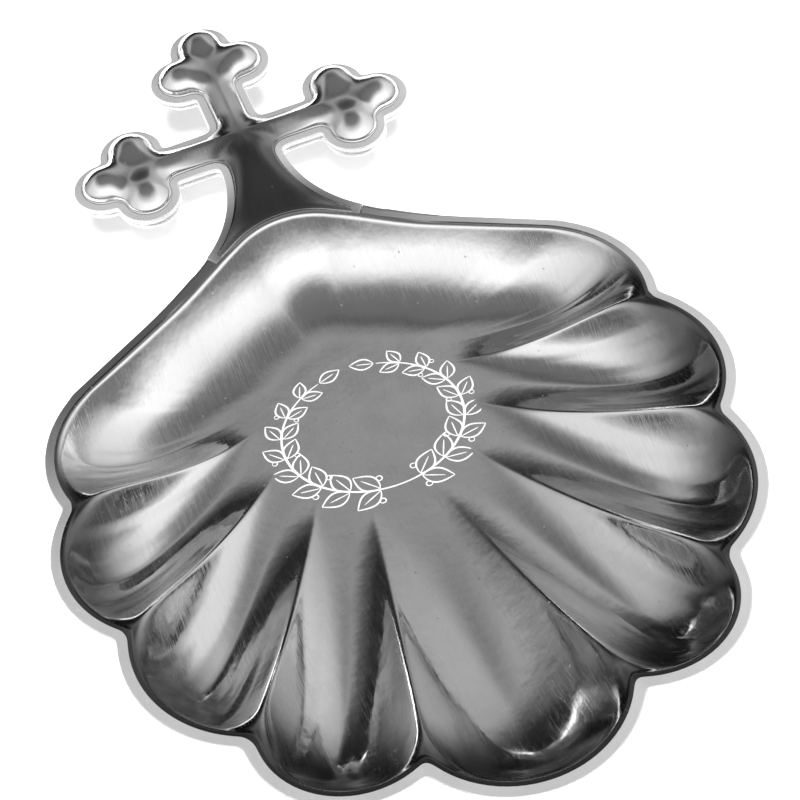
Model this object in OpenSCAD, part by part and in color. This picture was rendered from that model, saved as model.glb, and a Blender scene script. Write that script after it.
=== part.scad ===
// Baptismal shell: a nine-flute scallop bowl with a hollow budded-cross handle.
// Seen from above, the flutes fan out from the origin and the handle points along +Y.
// The floor of the bowl rests on z = 0.

/* [Bowl] */
// Thickness of the bowl's sheet
bowl_t = 0.9; // [0.6:0.1:1.4]
// Depth of the bowl, from the rim's crest down to the floor
bowl_depth = 9.5; // [7:0.1:13]
// Width of the flat rim around the bowl
rim_w = 2.1; // [1.2:0.1:3]
// How far the rim's outer edge lies below its crest
rim_drop = 0.3; // [0:0.05:0.6]
// Steepness of the wall just inside the rim's crest, as rise over run
rim_slope = 1.8; // [1.4:0.05:2.2]
// Half width of the oval floor that the walls rise from
floor_half_w = 9; // [7:0.5:12]
// Half length of that floor
floor_half_l = 10; // [8:0.5:13]
// Distance of that floor's middle from the origin, toward the bowl's front
floor_lead = 6; // [3:0.5:7]
// How sharp the ridges between flutes are
ridge_power = 1.7; // [1.4:0.1:2.6]
// Bare end of a ridge, as a share of the ridge's length, where the floor is flat
ridge_start = 0.38; // [0.34:0.01:0.5]
// How late a ridge climbs to the rim
ridge_climb = 1.5; // [1.1:0.05:2]

/* [Rim outline] */
// Angle of the ridge beside the middle flute, from the bowl's front
ridge_1_angle = 9.9; // [8.5:0.1:11.5]
// Length of that ridge, from the origin to the rim
ridge_1_len = 71; // [68:0.1:74]
// Angle of the second ridge
ridge_2_angle = 25.8; // [24:0.1:28]
// Length of the second ridge
ridge_2_len = 65.7; // [63:0.1:68]
// Angle of the third ridge
ridge_3_angle = 44.5; // [42:0.1:47]
// Length of the third ridge
ridge_3_len = 54.2; // [51:0.1:57]
// Angle of the fourth ridge
ridge_4_angle = 67.4; // [65:0.1:70]
// Length of the fourth ridge
ridge_4_len = 42.5; // [40:0.1:45]
// Angle of the corner where the end flute turns into the shoulder
shoulder_angle = 95.1; // [93:0.1:98]
// Distance of that corner from the origin
shoulder_len = 33.2; // [32:0.1:35]
// Slope of the straight shoulder against the width of the bowl
shoulder_slope = 31.8; // [29:0.1:34]
// Radius of the arch where the handle joins
arch_r = 12; // [10:0.1:14]
// Bulge of the middle flute past the line between its notches
bulge_1 = 8.5; // [7:0.1:10]
// Bulge of the second flute on each side
bulge_2 = 6.3; // [5:0.1:7.5]
// Bulge of the third flute on each side
bulge_3 = 4.5; // [3.5:0.1:6]
// Bulge of the fourth flute on each side
bulge_4 = 4.7; // [3.5:0.1:6]
// Bulge of the end flute on each side
bulge_5 = 3.6; // [3:0.1:4.5]

/* [Handle] */
// Upward tilt of the handle against the rim
handle_tilt = 8; // [2:0.5:12]
// Distance from the top of the arch to the crossing of the arms, along the handle
crossing_dist = 17.3; // [16:0.1:20]
// Length of an arm, from the crossing to the middle of its three buds
arm_len = 16; // [14.5:0.1:19]
// Width of an arm over its flange
arm_w = 7.4; // [6.4:0.1:8]
// Diameter of a bud over its flange
bud_d = 9.4; // [8.6:0.1:10]
// Distance of a side bud from the arm's centre line
side_bud = 4.7; // [4.3:0.1:5.2]
// Distance of the end bud past the side buds
end_bud = 5.3; // [4.8:0.1:6]
// Width of the neck under the arms, over its flange
neck_w = 9.5; // [8.5:0.1:11]
// Strip of the bowl's rim left bare in front of the handle's foot
foot_show = 1; // [0.6:0.1:1.6]
// Reach of the bowl's tab under the handle, past the arch
tab_reach = 4.5; // [3.5:0.1:6]
// Half width of the handle's foot
foot_half = 11; // [9:0.1:12]

/* [Hollow cross] */
// Thickness of the struck front
front_t = 0.8; // [0.5:0.1:1.1]
// Thickness of the back plate
back_t = 0.8; // [0.5:0.1:1.2]
// Width of the flange around the dome
flange_w = 1.3; // [1:0.1:1.6]
// Height of a bud's dome above the flange
bud_h = 2.8; // [2:0.1:3.4]
// Height of the dome at the crossing
crossing_h = 2.1; // [1.8:0.1:3]
// Height of the dome between the three buds of an arm
bud_valley_h = 2.2; // [1.7:0.1:2.8]
// Height of the dome at the foot of the neck
foot_h = 0.5; // [0.3:0.05:1]
// Share of the arms' height that is a ridge instead of a round top
arm_ridge = 0.6; // [0:0.05:0.8]
// Thickness of the solder in the seams
solder_t = 0.1; // [0.05:0.01:0.2]
// Diameter of the vent hole in the back plate
vent_d = 1.5; // [1:0.1:2.5]

/* [Hidden] */

silver = "#c9cbcd";
dark_silver = "#a9abae";
solder_grey = "#8f9194";

// Number of angle steps in each arc of the half rim, and across the handle's root
LOBE_STEPS = [6, 12, 12, 12, 10];
SHOULDER_STEPS = 6;
ROOT_STEPS = 8;
// Rings from the floor to the rim, as shares of the distance to the rim
RINGS = [0.4, 0.46, 0.52, 0.58, 0.64, 0.7, 0.76, 0.82, 0.87, 0.91, 0.95, 0.98, 1];
// Places of the two rings on the flat rim, as shares of its width
RIM_RINGS = [0.4, 0.7];
// Limit on the sheet's upright thickness on steep walls
steep_limit = 2;
// Step for measuring a slope
slope_step = 0.2;
// Number of steps on each side, and their size in degrees, over which the rim's facing is evened out
MEAN_STEPS = 4;
mean_turn = 4;
// Depth of the skim cut that makes the base flat
base_skim = 0.1;
// Clear size around the part for the skim cut
skim_size = 4 * ridge_1_len;
// Bulge of the nearly straight shoulder
shoulder_bulge = 0.1;
// Stretch before the arch's top over which the rim rises into the handle's plane
rise_start = 10.5;
rise_end = 2.5;
// Lead of the line where the handle's plane meets the rim's plane, before the arch's top
hinge_lead = 12.5;

half_arm = arm_w / 2;
half_neck = neck_w / 2;
bud_r = bud_d / 2;
// Gap left where the handle butts against the bowl
butt_gap = 0.2;
// Width of the step behind the rim's bare strip
step_w = 0.15;
// How far the bowl's tab and the lap's solder stay inside the handle's outline
tab_inset = 0.5;
// Straight stretch of the neck under the arms
neck_straight = 0.2;
// Least length of the blunt tips of the dome's foot
tip_len = 0.6;
// Share of an inset that the handle's foot takes
foot_share = 0.4;
// How far the middle of the foot's dome lies from the foot
foot_centre = 4.5;
// Turn, in degrees, over which the step runs out beside the handle's foot
step_turn = 0.8;
// Half angle that an end bud's arc turns
end_bud_turn = 88;
// Angle of a side bud's arc past the arm's direction
side_bud_turn = 10;
// Number of steps along a bud's arc, an arm's side, the neck's flare and half the foot
BUD_STEPS = 10;
ARM_STEPS = 4;
NECK_STEPS = 9;
FOOT_STEPS = 8;
// Rings of the dome, from its foot to its middle line
DOME_RINGS = 5;

// Point at an angle from the bowl's front, anticlockwise seen from above
function polar(a, r) = [r * sin(a), -r * cos(a)];
function angle_of(p) = atan2(p[0], -p[1]);
function mirrored(p) = [-p[0], p[1]];
function mix(a, b, t) = a * (1 - t) + b * t;
function ease(t) = let (c = max(0, min(1, t))) c * c * (3 - 2 * c);

// Straight shoulder: a line with this outward direction at this distance from the origin
out = [sin(shoulder_slope), cos(shoulder_slope)];
SHOULDER_CORNER = polar(shoulder_angle, shoulder_len);
shoulder_dist = out * SHOULDER_CORNER;
function shoulder_y(x, g) = (shoulder_dist + g - out[0] * x) / out[1];

// Arch at the root, rounded between the two shoulders
arch_y = shoulder_dist / out[1] - arch_r / out[1];
arch_top = arch_y + arch_r;
ROOT = [0, arch_y] + arch_r * out;

// Stations along half of the rim: angle and distance from the origin
RIM = [
    [ridge_1_angle, ridge_1_len],
    [ridge_2_angle, ridge_2_len],
    [ridge_3_angle, ridge_3_len],
    [ridge_4_angle, ridge_4_len],
    [shoulder_angle, shoulder_len],
    [angle_of(ROOT), norm(ROOT)]
];
RIDGES = 4;
ARCH = len(RIM);
SHOULDER = ARCH - 1;

// Circle through a and b that bulges by s past their line: [centre, radius]
function arc_circle(a, b, s) =
    let (
        c = norm(b - a),
        r = (c * c / 4 + s * s) / (2 * s),
        normal = [b[1] - a[1], a[0] - b[0]] / c
    )
    [(a + b) / 2 + normal * (s - r), r];
BULGES = [bulge_1, bulge_2, bulge_3, bulge_4, bulge_5, shoulder_bulge];
STATIONS = [for (p = RIM) polar(p[0], p[1])];
CHAIN = concat([mirrored(STATIONS[0])], STATIONS);
ARCS = concat(
    [for (i = [0:SHOULDER]) arc_circle(CHAIN[i], CHAIN[i + 1], BULGES[i])],
    [[[0, arch_y], arch_r]]
);

// Distance along a ray to the far side of a circle grown by g, or 0 where it misses
function reach(arc, g, a) =
    let (
        k = arc[0] * polar(a, 1),
        q = pow(arc[1] + g, 2) - arc[0] * arc[0] + k * k
    )
    q < 0 ? 0 : k + sqrt(q);

// Arc of the half rim that an angle falls in
function arc_at(a) = len([for (p = RIM) if (p[0] <= a) 1]);
function rim_r(a) = reach(ARCS[arc_at(abs(a))], 0, abs(a));

// How squarely a ray meets the rim: 1 when square, evened out by a weighted mean over nearby angles
function wrapped(a) = abs(a) > 180 ? 360 - abs(a) : abs(a);
function facing(a) =
    let (arc = ARCS[arc_at(a)], u = polar(a, 1))
    (rim_r(a) * u - arc[0]) * u / arc[1];
function mean_facing(a) =
    let (turns = [-MEAN_STEPS:MEAN_STEPS])
    [for (k = turns) facing(wrapped(a + k * mean_turn))]
    * [for (k = turns) MEAN_STEPS + 1 - abs(k)] / pow(MEAN_STEPS + 1, 2);

// Distance along a ray to the edge of the oval floor
function floor_r(a) =
    let (
        u = [sin(a) / floor_half_w, -cos(a) / floor_half_l],
        o = [0, floor_lead / floor_half_l],
        b = u * o
    )
    (sqrt(b * b + u * u * (1 - o * o)) - b) / (u * u);

// The handle's plane meets the rim's plane along the hinge line and rises with its tilt
rim_z = bowl_t + bowl_depth;
hinge_y = arch_top - hinge_lead;
rise_from = arch_top - rise_start;
rise_to = arch_top - rise_end;
function rise(y) = (y - hinge_y) * tan(handle_tilt) * ease((y - rise_from) / (rise_to - rise_from));
step_z = (front_t + solder_t) / cos(handle_tilt);

// Handle's own plane: x across, v along the slope from the hinge line
function to_v(y) = (y - hinge_y) / cos(handle_tilt);
crossing_v = to_v(arch_top) + crossing_dist;
flare_v = crossing_v - half_arm - neck_straight;
flare_y = hinge_y + flare_v * cos(handle_tilt);
// The neck's flare runs into the shoulder's outer edge without a corner
flare_r = (out[0] * half_neck + out[1] * flare_y - shoulder_dist - rim_w) / (1 - out[0]);
flare_c = [half_neck + flare_r, flare_y];
flare_angle = angle_of(flare_c - flare_r * out);
tab_y = arch_top + tab_reach;
tab_v = to_v(tab_y);

// Angles between which the step beside the handle's foot runs out
tip_angle = angle_of([foot_half + butt_gap, shoulder_y(foot_half + butt_gap, foot_show)]) - step_turn;
function in_root(a) = abs(a) > tip_angle + step_turn / 2;

// Outer edge of the rim, with the tab that the handle laps over
function flare_reach(a, i) =
    let (
        u = polar(a, 1),
        k = flare_c * u,
        q = pow(flare_r + i, 2) - flare_c * flare_c + k * k,
        end = tab_y / u[1]
    )
    q < 0 ? end : min(end, k - sqrt(q));
function rim_outer_r(a) =
    let (b = abs(a), i = arc_at(b))
    b >= flare_angle ? flare_reach(b, in_root(b) ? tab_inset : 0)
    : i >= SHOULDER ? reach(ARCS[i], rim_w, b)
    : max([for (j = [max(0, i - 1):min(RIDGES, i + 1)]) reach(ARCS[j], rim_w, b)]);
function outer_drop(a) =
    rim_drop * max(0, min(1, (flare_angle - abs(a)) / (flare_angle - shoulder_angle)));

// Share of a ridge's height across a flute: 0 in the channel, 1 on the ridge
function ridge_share(a) =
    let (b = abs(a), i = arc_at(b))
    i == 0 ? b / ridge_1_angle
    : i < RIDGES ? abs(2 * (b - RIM[i - 1][0]) / (RIM[i][0] - RIM[i - 1][0]) - 1)
    : max(0, 1 - 2 * (b - ridge_4_angle) / (shoulder_angle - ridge_4_angle));
// Height of a ridge along its length
function ridge_rise(s) = pow(max(0, s - ridge_start) / (1 - ridge_start), ridge_climb);
// Height of the bowl's upper face at angle a and distance r
function bowl_z(a, r) =
    let (
        rim = rim_r(a),
        s = min(1, r / rim),
        run = rim - floor_r(a),
        wall = pow(max(0, 1 - (rim - r) / run), rim_slope * mean_facing(a) * run / bowl_depth),
        ridge = ridge_rise(s) * pow(ridge_share(a), ridge_power),
        height = bowl_depth + rise(-rim * cos(a))
    )
    bowl_t + height * (wall + (1 - wall) * ridge);
// Upright thickness of the sheet, which grows where the wall is steep
function sheet_t(a, r) =
    let (
        z = bowl_z(a, r),
        in = (z - bowl_z(a, r - slope_step)) / slope_step,
        turn = slope_step / r * 180 / PI,
        across = (bowl_z(a + turn, r) - bowl_z(a - turn, r)) / (2 * slope_step)
    )
    bowl_t * min(steep_limit, sqrt(1 + in * in + across * across));

// Angles of the rays that the bowl's points lie on
function steps(from, to, n) = [for (k = [0:n - 1]) mix(from, to, k / n)];
HALF_ANGLES = concat(
    [for (i = [0:RIDGES]) each steps(i == 0 ? 0 : RIM[i - 1][0], RIM[i][0], LOBE_STEPS[i])],
    steps(shoulder_angle, flare_angle, SHOULDER_STEPS),
    steps(flare_angle, tip_angle, 2),
    [tip_angle],
    steps(tip_angle + step_turn, 180, ROOT_STEPS)
);
ANGLES = concat(HALF_ANGLES, [180], [for (i = [len(HALF_ANGLES) - 1:-1:1]) -HALF_ANGLES[i]]);

// Points of the flat rim on one ray: [distance, height below the rim's plane, thickness]
function rim_row(a) =
    let (
        r1 = rim_r(a),
        r2 = rim_outer_r(a),
        drop = outer_drop(a),
        foot = reach(ARCS[arc_at(abs(a))], foot_show, abs(a))
    )
    in_root(a)
    ? [
        [foot - butt_gap, 0, bowl_t + step_z],
        [foot - butt_gap + step_w, step_z, bowl_t],
        [r2, step_z, bowl_t]
    ]
    : [
        [mix(r1, r2, RIM_RINGS[0]), drop * RIM_RINGS[0], bowl_t],
        [mix(r1, r2, RIM_RINGS[1]), drop * RIM_RINGS[1], bowl_t],
        [r2, drop, bowl_t]
    ];

// Bowl: rings of points on the upper and the under face, closed at the rim's edge
module shell_bowl() {
    n = len(ANGLES);
    rows = [for (a = ANGLES) rim_row(a)];
    inner = [for (s = RINGS, a = ANGLES) [a, s * rim_r(a), s]];
    upper = [for (q = inner) let (p = polar(q[0], q[1])) [p[0], p[1], bowl_z(q[0], q[1])]];
    under = [
        for (i = [0:len(inner) - 1])
            let (t = inner[i][2] == 1 ? bowl_t : sheet_t(inner[i][0], inner[i][1]))
            upper[i] - [0, 0, t + (upper[i][2] > bowl_t ? 0 : base_skim)]
    ];
    flat = [
        for (k = [0:2], j = [0:n - 1])
            let (q = rows[j][k], p = polar(ANGLES[j], q[0]))
            [p[0], p[1], rim_z + rise(p[1]) - q[1], q[2]]
    ];
    top = concat(upper, [for (p = flat) [p[0], p[1], p[2]]]);
    bottom = concat(under, [for (p = flat) [p[0], p[1], p[2] - p[3]]]);
    m = len(top);
    rings = m / n - 1;
    o = rings * n;
    faces = concat(
        [for (i = [0:rings - 1], j = [0:n - 1]) let (k = (j + 1) % n)
            each [[(i + 1) * n + k, (i + 1) * n + j, i * n + j], [(i + 1) * n + k, i * n + j, i * n + k]]],
        [for (i = [0:rings - 1], j = [0:n - 1]) let (k = (j + 1) % n)
            each [[m + (i + 1) * n + j, m + (i + 1) * n + k, m + i * n + j],
                  [m + i * n + j, m + (i + 1) * n + k, m + i * n + k]]],
        [for (j = [0:n - 1]) let (k = (j + 1) % n)
            each [[2 * m, k, j], [2 * m + 1, m + j, m + k]]],
        [for (j = [0:n - 1]) let (k = (j + 1) % n)
            each [[o + j, o + k, m + o + k], [o + j, m + o + k, m + o + j]]]
    );
    color(silver)
        difference() {
            polyhedron(concat(top, bottom, [[0, 0, bowl_t], [0, 0, -base_skim]]), faces);
            translate([-skim_size / 2, -skim_size / 2, -skim_size])
                cube(skim_size);
        }
}

// Edges of the handle's neck and foot at x, inset by i
function flare_edge(x, i) =
    let (q = half_neck + flare_r - x, r = flare_r + i)
    q >= r ? flare_v : flare_v - sqrt(r * r - q * q);
function foot_edge(x, i) =
    let (g = foot_show + i * foot_share)
    to_v(x < (arch_r + g) * out[0] ? arch_y + sqrt(pow(arch_r + g, 2) - x * x) : shoulder_y(x, g));
// Half width of the foot: the widest place where its tip is still blunt
function foot_x(i) = max([
    for (x = [0:0.05:foot_half])
        if (flare_edge(x, i) - foot_edge(x, i) >= tip_len) x
]);

// Samples of one arm: [point along and across, middle-line point, height there, ridge share], inset by i
function bud_arc(c, r, from, to) =
    [for (k = [0:BUD_STEPS]) let (a = mix(from, to, k / BUD_STEPS))
        [c + r * [cos(a), sin(a)], c, bud_h, 0]];
function arm_side(corner, i) =
    [for (k = [0:ARM_STEPS]) let (f = k / ARM_STEPS)
        [mix(corner, [arm_len - bud_r, half_arm - i], f), [arm_len * f, 0],
         mix(crossing_h, bud_valley_h, f), arm_ridge * (1 - f)]];
function half_bud_group(i) = concat(
    bud_arc([arm_len, side_bud], bud_r - i, 180 + side_bud_turn, side_bud_turn),
    [[[arm_len + side_bud - i, side_bud - i], [arm_len, 0], bud_valley_h, 0]]
);
function flipped(list) =
    [for (k = [len(list) - 1:-1:0]) let (s = list[k])
        [[s[0][0], -s[0][1]], [s[1][0], -s[1][1]], s[2], s[3]]];
function arm(corner_in, corner_out, i) = concat(
    arm_side(corner_in, i),
    half_bud_group(i),
    bud_arc([arm_len + end_bud, 0], bud_r - i, end_bud_turn, -end_bud_turn),
    flipped(half_bud_group(i)),
    flipped(arm_side([corner_out[0], -corner_out[1]], i))
);
// Turns an arm's samples so that it points along dir from the crossing
function turned(p, dir) = [0, crossing_v] + p[0] * dir + p[1] * [-dir[1], dir[0]];
function placed(list, dir) = [for (s = list) [turned(s[0], dir), turned(s[1], dir), s[2], s[3]]];

// Samples of the neck's right side and of half the foot, inset by i
foot_mid = [0, foot_edge(0, 0) + foot_centre];
function neck_side(i) =
    let (r = flare_r + i, turn = acos((half_neck + flare_r - foot_x(i)) / r))
    [for (k = [1:NECK_STEPS]) let (f = k / NECK_STEPS)
        [[half_neck + flare_r - r * cos(turn * f), flare_v - r * sin(turn * f)],
         mix([0, crossing_v], foot_mid, f), mix(crossing_h, foot_h, f), arm_ridge * (1 - f)]];
function half_foot(i) =
    [for (k = [0:FOOT_STEPS]) let (x = foot_x(i) * (1 - k / FOOT_STEPS))
        [[x, foot_edge(x, i)], foot_mid, foot_h, 0]];
function other_side(list) =
    [for (k = [len(list) - 1:-1:0]) let (s = list[k]) [mirrored(s[0]), mirrored(s[1]), s[2], s[3]]];
// The whole outline of the handle, clockwise from the left tip of the foot
function outline(i) =
    let (
        up = [half_arm - i, half_arm - i],
        low = [half_neck - i, half_arm - i],
        neck = neck_side(i),
        foot = half_foot(i),
        left = placed(arm(low, [up[0], -up[1]], i), [-1, 0]),
        top = placed(arm(up, [up[0], -up[1]], i), [0, 1]),
        right = placed(arm(up, [low[0], -low[1]], i), [1, 0]),
        back = other_side(foot)
    )
    concat(
        other_side(neck), left,
        [for (k = [1:len(top) - 2]) top[k]], right,
        neck, foot, [for (k = [1:len(back) - 1]) back[k]]
    );
function points_of(list) = [for (s = list) s[0]];

// Rings of a dome from its foot up to its middle line
function dome_rings(list, base) =
    [for (k = [0:DOME_RINGS]) let (f = 1 - cos(90 * k / DOME_RINGS), g = sin(90 * k / DOME_RINGS))
        [for (s = list) let (p = mix(s[0], s[1], f)) [p[0], p[1], base + s[2] * mix(g, f, s[3])]]];

// Places what is drawn in the handle's own plane
module on_handle_plane() {
    translate([0, hinge_y, rim_z])
        rotate([handle_tilt, 0, 0])
            children();
}

// Front of the cross: a hollow struck dome with a flange, open underneath
module cross_front() {
    edge = outline(0);
    n = len(edge);
    flange_top = [for (s = edge) [s[0][0], s[0][1], 0]];
    flange_bottom = [for (s = edge) [s[0][0], s[0][1], -front_t]];
    top = concat([flange_top], dome_rings(outline(flange_w), 0));
    bottom = concat([flange_bottom], dome_rings(outline(flange_w + front_t), -front_t));
    rows = len(top);
    points = concat([for (row = top) each row], [for (row = bottom) each row]);
    m = rows * n;
    faces = concat(
        [for (i = [0:rows - 2], j = [0:n - 1]) let (k = (j + 1) % n)
            each [[i * n + j, i * n + k, (i + 1) * n + j], [i * n + k, (i + 1) * n + k, (i + 1) * n + j]]],
        [for (i = [0:rows - 2], j = [0:n - 1]) let (k = (j + 1) % n)
            each [[m + i * n + k, m + i * n + j, m + (i + 1) * n + j],
                  [m + (i + 1) * n + k, m + i * n + k, m + (i + 1) * n + j]]],
        [for (j = [0:n - 1]) let (k = (j + 1) % n)
            each [[k, j, m + j], [k, m + j, m + k]]]
    );
    color(silver)
        on_handle_plane()
            polyhedron(points, [for (f = faces) if (no_repeat(points, f)) f]);
}
function no_repeat(p, f) = p[f[0]] != p[f[1]] && p[f[1]] != p[f[2]] && p[f[2]] != p[f[0]];

// Part of the handle's plane between two places along it
handle_span = 2 * (crossing_v + arm_len + end_bud + bud_d);
module between(from, to) {
    intersection() {
        children();
        translate([-handle_span / 2, from])
            square([handle_span, to - from]);
    }
}

// Back of the cross: a flat plate that closes the hollow, with a vent hole
back_top = -front_t - solder_t;
module cross_back() {
    color(dark_silver)
        on_handle_plane()
            difference() {
                translate([0, 0, back_top - back_t])
                    linear_extrude(back_t)
                        between(tab_v + butt_gap, handle_span)
                            polygon(points_of(outline(0)));
                translate([0, crossing_v, back_top - 2 * back_t])
                    cylinder(d = vent_d, h = 3 * back_t, $fn = 32);
            }
}

// Solder under the flange of the front
module flange_solder(from, to) {
    color(solder_grey)
        on_handle_plane()
            translate([0, 0, back_top])
                linear_extrude(solder_t)
                    between(from, to)
                        difference() {
                            polygon(points_of(outline(tab_inset)));
                            polygon(points_of(outline(flange_w + front_t)));
                        }
}
module cross_seam_solder() {
    flange_solder(tab_v + butt_gap, handle_span);
}
module root_lap_solder() {
    flange_solder(0, tab_v - butt_gap);
}

shell_bowl();
cross_front();
cross_back();
cross_seam_solder();
root_lap_solder();
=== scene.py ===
"""Dresses the baptismal shell: a fluted scallop bowl with a hollow cross handle, in polished silver."""

import logging
from dataclasses import dataclass
from enum import Enum
from typing import Callable, Sequence

import bpy
import numpy as np
from mathutils import Matrix, Vector
from mathutils.geometry import delaunay_2d_cdt


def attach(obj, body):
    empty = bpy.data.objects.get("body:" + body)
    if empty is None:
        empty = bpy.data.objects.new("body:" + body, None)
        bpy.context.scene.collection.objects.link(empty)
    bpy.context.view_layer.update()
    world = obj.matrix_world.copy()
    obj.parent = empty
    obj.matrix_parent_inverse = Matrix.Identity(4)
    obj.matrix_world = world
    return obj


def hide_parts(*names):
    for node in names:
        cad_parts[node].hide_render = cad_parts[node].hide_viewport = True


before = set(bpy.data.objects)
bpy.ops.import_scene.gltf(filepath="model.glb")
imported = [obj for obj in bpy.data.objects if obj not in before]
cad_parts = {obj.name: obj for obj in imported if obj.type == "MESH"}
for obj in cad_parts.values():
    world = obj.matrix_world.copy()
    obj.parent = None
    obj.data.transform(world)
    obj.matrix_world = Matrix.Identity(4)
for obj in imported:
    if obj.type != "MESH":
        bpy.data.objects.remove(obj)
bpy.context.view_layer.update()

LOG = logging.getLogger("baptismal_shell")
MM = 0.001
Array = np.ndarray
Socket = bpy.types.NodeSocket


class Slot(Enum):
    """Names of material slots, kept with each finish."""

    POLISHED = "polished_silver"
    SATIN = "satin_silver"
    SOLDER = "silver_solder"


class Grain(Enum):
    """Direction of the fine polishing lines on a piece."""

    ALONG_FLUTES = "along_flutes"
    ALONG_HANDLE = "along_handle"


# Small helpers for curves and fields


def polar(angle: Array, radius: Array) -> Array:
    """Places points around the bowl.

    Args:
        angle: Angles in degrees from the bowl's front, anticlockwise from above.
        radius: Distances from the origin in millimetres.

    Returns:
        Points, with x and y in the last axis.
    """
    turn = np.radians(angle)
    return np.stack([radius * np.sin(turn), -radius * np.cos(turn)], axis=-1)


def angle_of(point: Sequence[float]) -> float:
    """Gives a point's angle in degrees from the bowl's front."""
    return float(np.degrees(np.arctan2(point[0], -point[1])))


def folded(angle: Array) -> Array:
    """Folds angles in degrees onto one half of the bowl, from 0 in front to 180 behind."""
    return np.abs((angle + 180.0) % 360.0 - 180.0)


def ease(share: Array) -> Array:
    """Runs smoothly from 0 to 1 while share does, and stays there."""
    s = np.clip(share, 0.0, 1.0)
    return s * s * (3.0 - 2.0 * s)


def soft_min(a: Array, b: Array, reach: float) -> Array:
    """Gives the lesser of two values, rounded where they are closer than reach."""
    h = np.maximum(reach - np.abs(a - b), 0.0) / reach
    return np.minimum(a, b) - h * h * reach / 4.0


def quarter_round(share: Array) -> Array:
    """Rises from 0 to 1 like a quarter of a circle."""
    s = np.clip(share, 0.0, 1.0)
    return np.sqrt(np.maximum(0.0, 1.0 - (1.0 - s) ** 2))


def blurred(curve: Callable[[Array], Array], at: Array, width: float, taps: int = 41) -> Array:
    """Averages a function of angle with a bell-shaped weight, which rounds its corners.

    Args:
        curve: Function of an array of angles.
        at: Angles to work it out for.
        width: Standard deviation of the bell.
        taps: Number of samples across the bell.

    Returns:
        The rounded values.
    """
    offsets = np.linspace(-2.5, 2.5, taps)
    weights = np.exp(-0.5 * offsets**2)
    weights /= weights.sum()
    return sum(w * curve(at + width * o) for w, o in zip(weights, offsets))


def evenly_spaced(loop: Array, step: float) -> Array:
    """Resamples a closed outline at even steps.

    Args:
        loop: Points of the outline, without the first one repeated.
        step: Wished distance between points.

    Returns:
        The resampled points.
    """
    closed = np.vstack([loop, loop[:1]])
    along = np.concatenate([[0.0], np.cumsum(np.linalg.norm(np.diff(closed, axis=0), axis=1))])
    count = int(round(along[-1] / step))
    places = np.linspace(0.0, along[-1], count, endpoint=False)
    return np.stack([np.interp(places, along, closed[:, k]) for k in range(2)], axis=1)


def rounded_loop(loop: Array, samples: float) -> Array:
    """Rounds the corners of an evenly spaced closed outline.

    Args:
        loop: Points of the outline.
        samples: Standard deviation of the rounding, in points.

    Returns:
        The rounded outline.
    """
    half = int(np.ceil(3 * samples))
    offsets = np.arange(-half, half + 1)
    weights = np.exp(-0.5 * (offsets / samples) ** 2)
    weights /= weights.sum()
    return sum(w * np.roll(loop, -o, axis=0) for w, o in zip(weights, offsets))


def distance_to_path(points: Array, path: Array, closed: bool) -> Array:
    """Measures how far points lie from a path.

    Args:
        points: Points to measure.
        path: Points of the path.
        closed: Whether the path's end joins its start.

    Returns:
        One distance for each point.
    """
    start = path if closed else path[:-1]
    step = np.roll(path, -1, axis=0)[: len(start)] - start
    length = np.maximum((step**2).sum(1), 1e-12)
    result = np.empty(len(points))
    for block in np.array_split(np.arange(len(points)), max(1, len(points) // 1500)):
        to_start = points[block, None, :] - start[None, :, :]
        share = np.clip((to_start * step).sum(2) / length, 0.0, 1.0)
        gap = to_start - share[..., None] * step
        result[block] = np.sqrt((gap**2).sum(2).min(1))
    return result


def inside_loop(points: Array, loop: Array) -> Array:
    """Tells which points lie inside a closed outline.

    Args:
        points: Points to test.
        loop: Points of the outline.

    Returns:
        One truth value for each point.
    """
    x, y = points[:, 0, None], points[:, 1, None]
    after = np.roll(loop, -1, axis=0)
    spans = (loop[:, 1] > y) != (after[:, 1] > y)
    rise = np.where(after[:, 1] == loop[:, 1], 1e-12, after[:, 1] - loop[:, 1])
    cross = (after[:, 0] - loop[:, 0]) * (y - loop[:, 1]) / rise + loop[:, 0]
    return (spans & (x < cross)).sum(1) % 2 == 1


# Finishes


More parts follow.
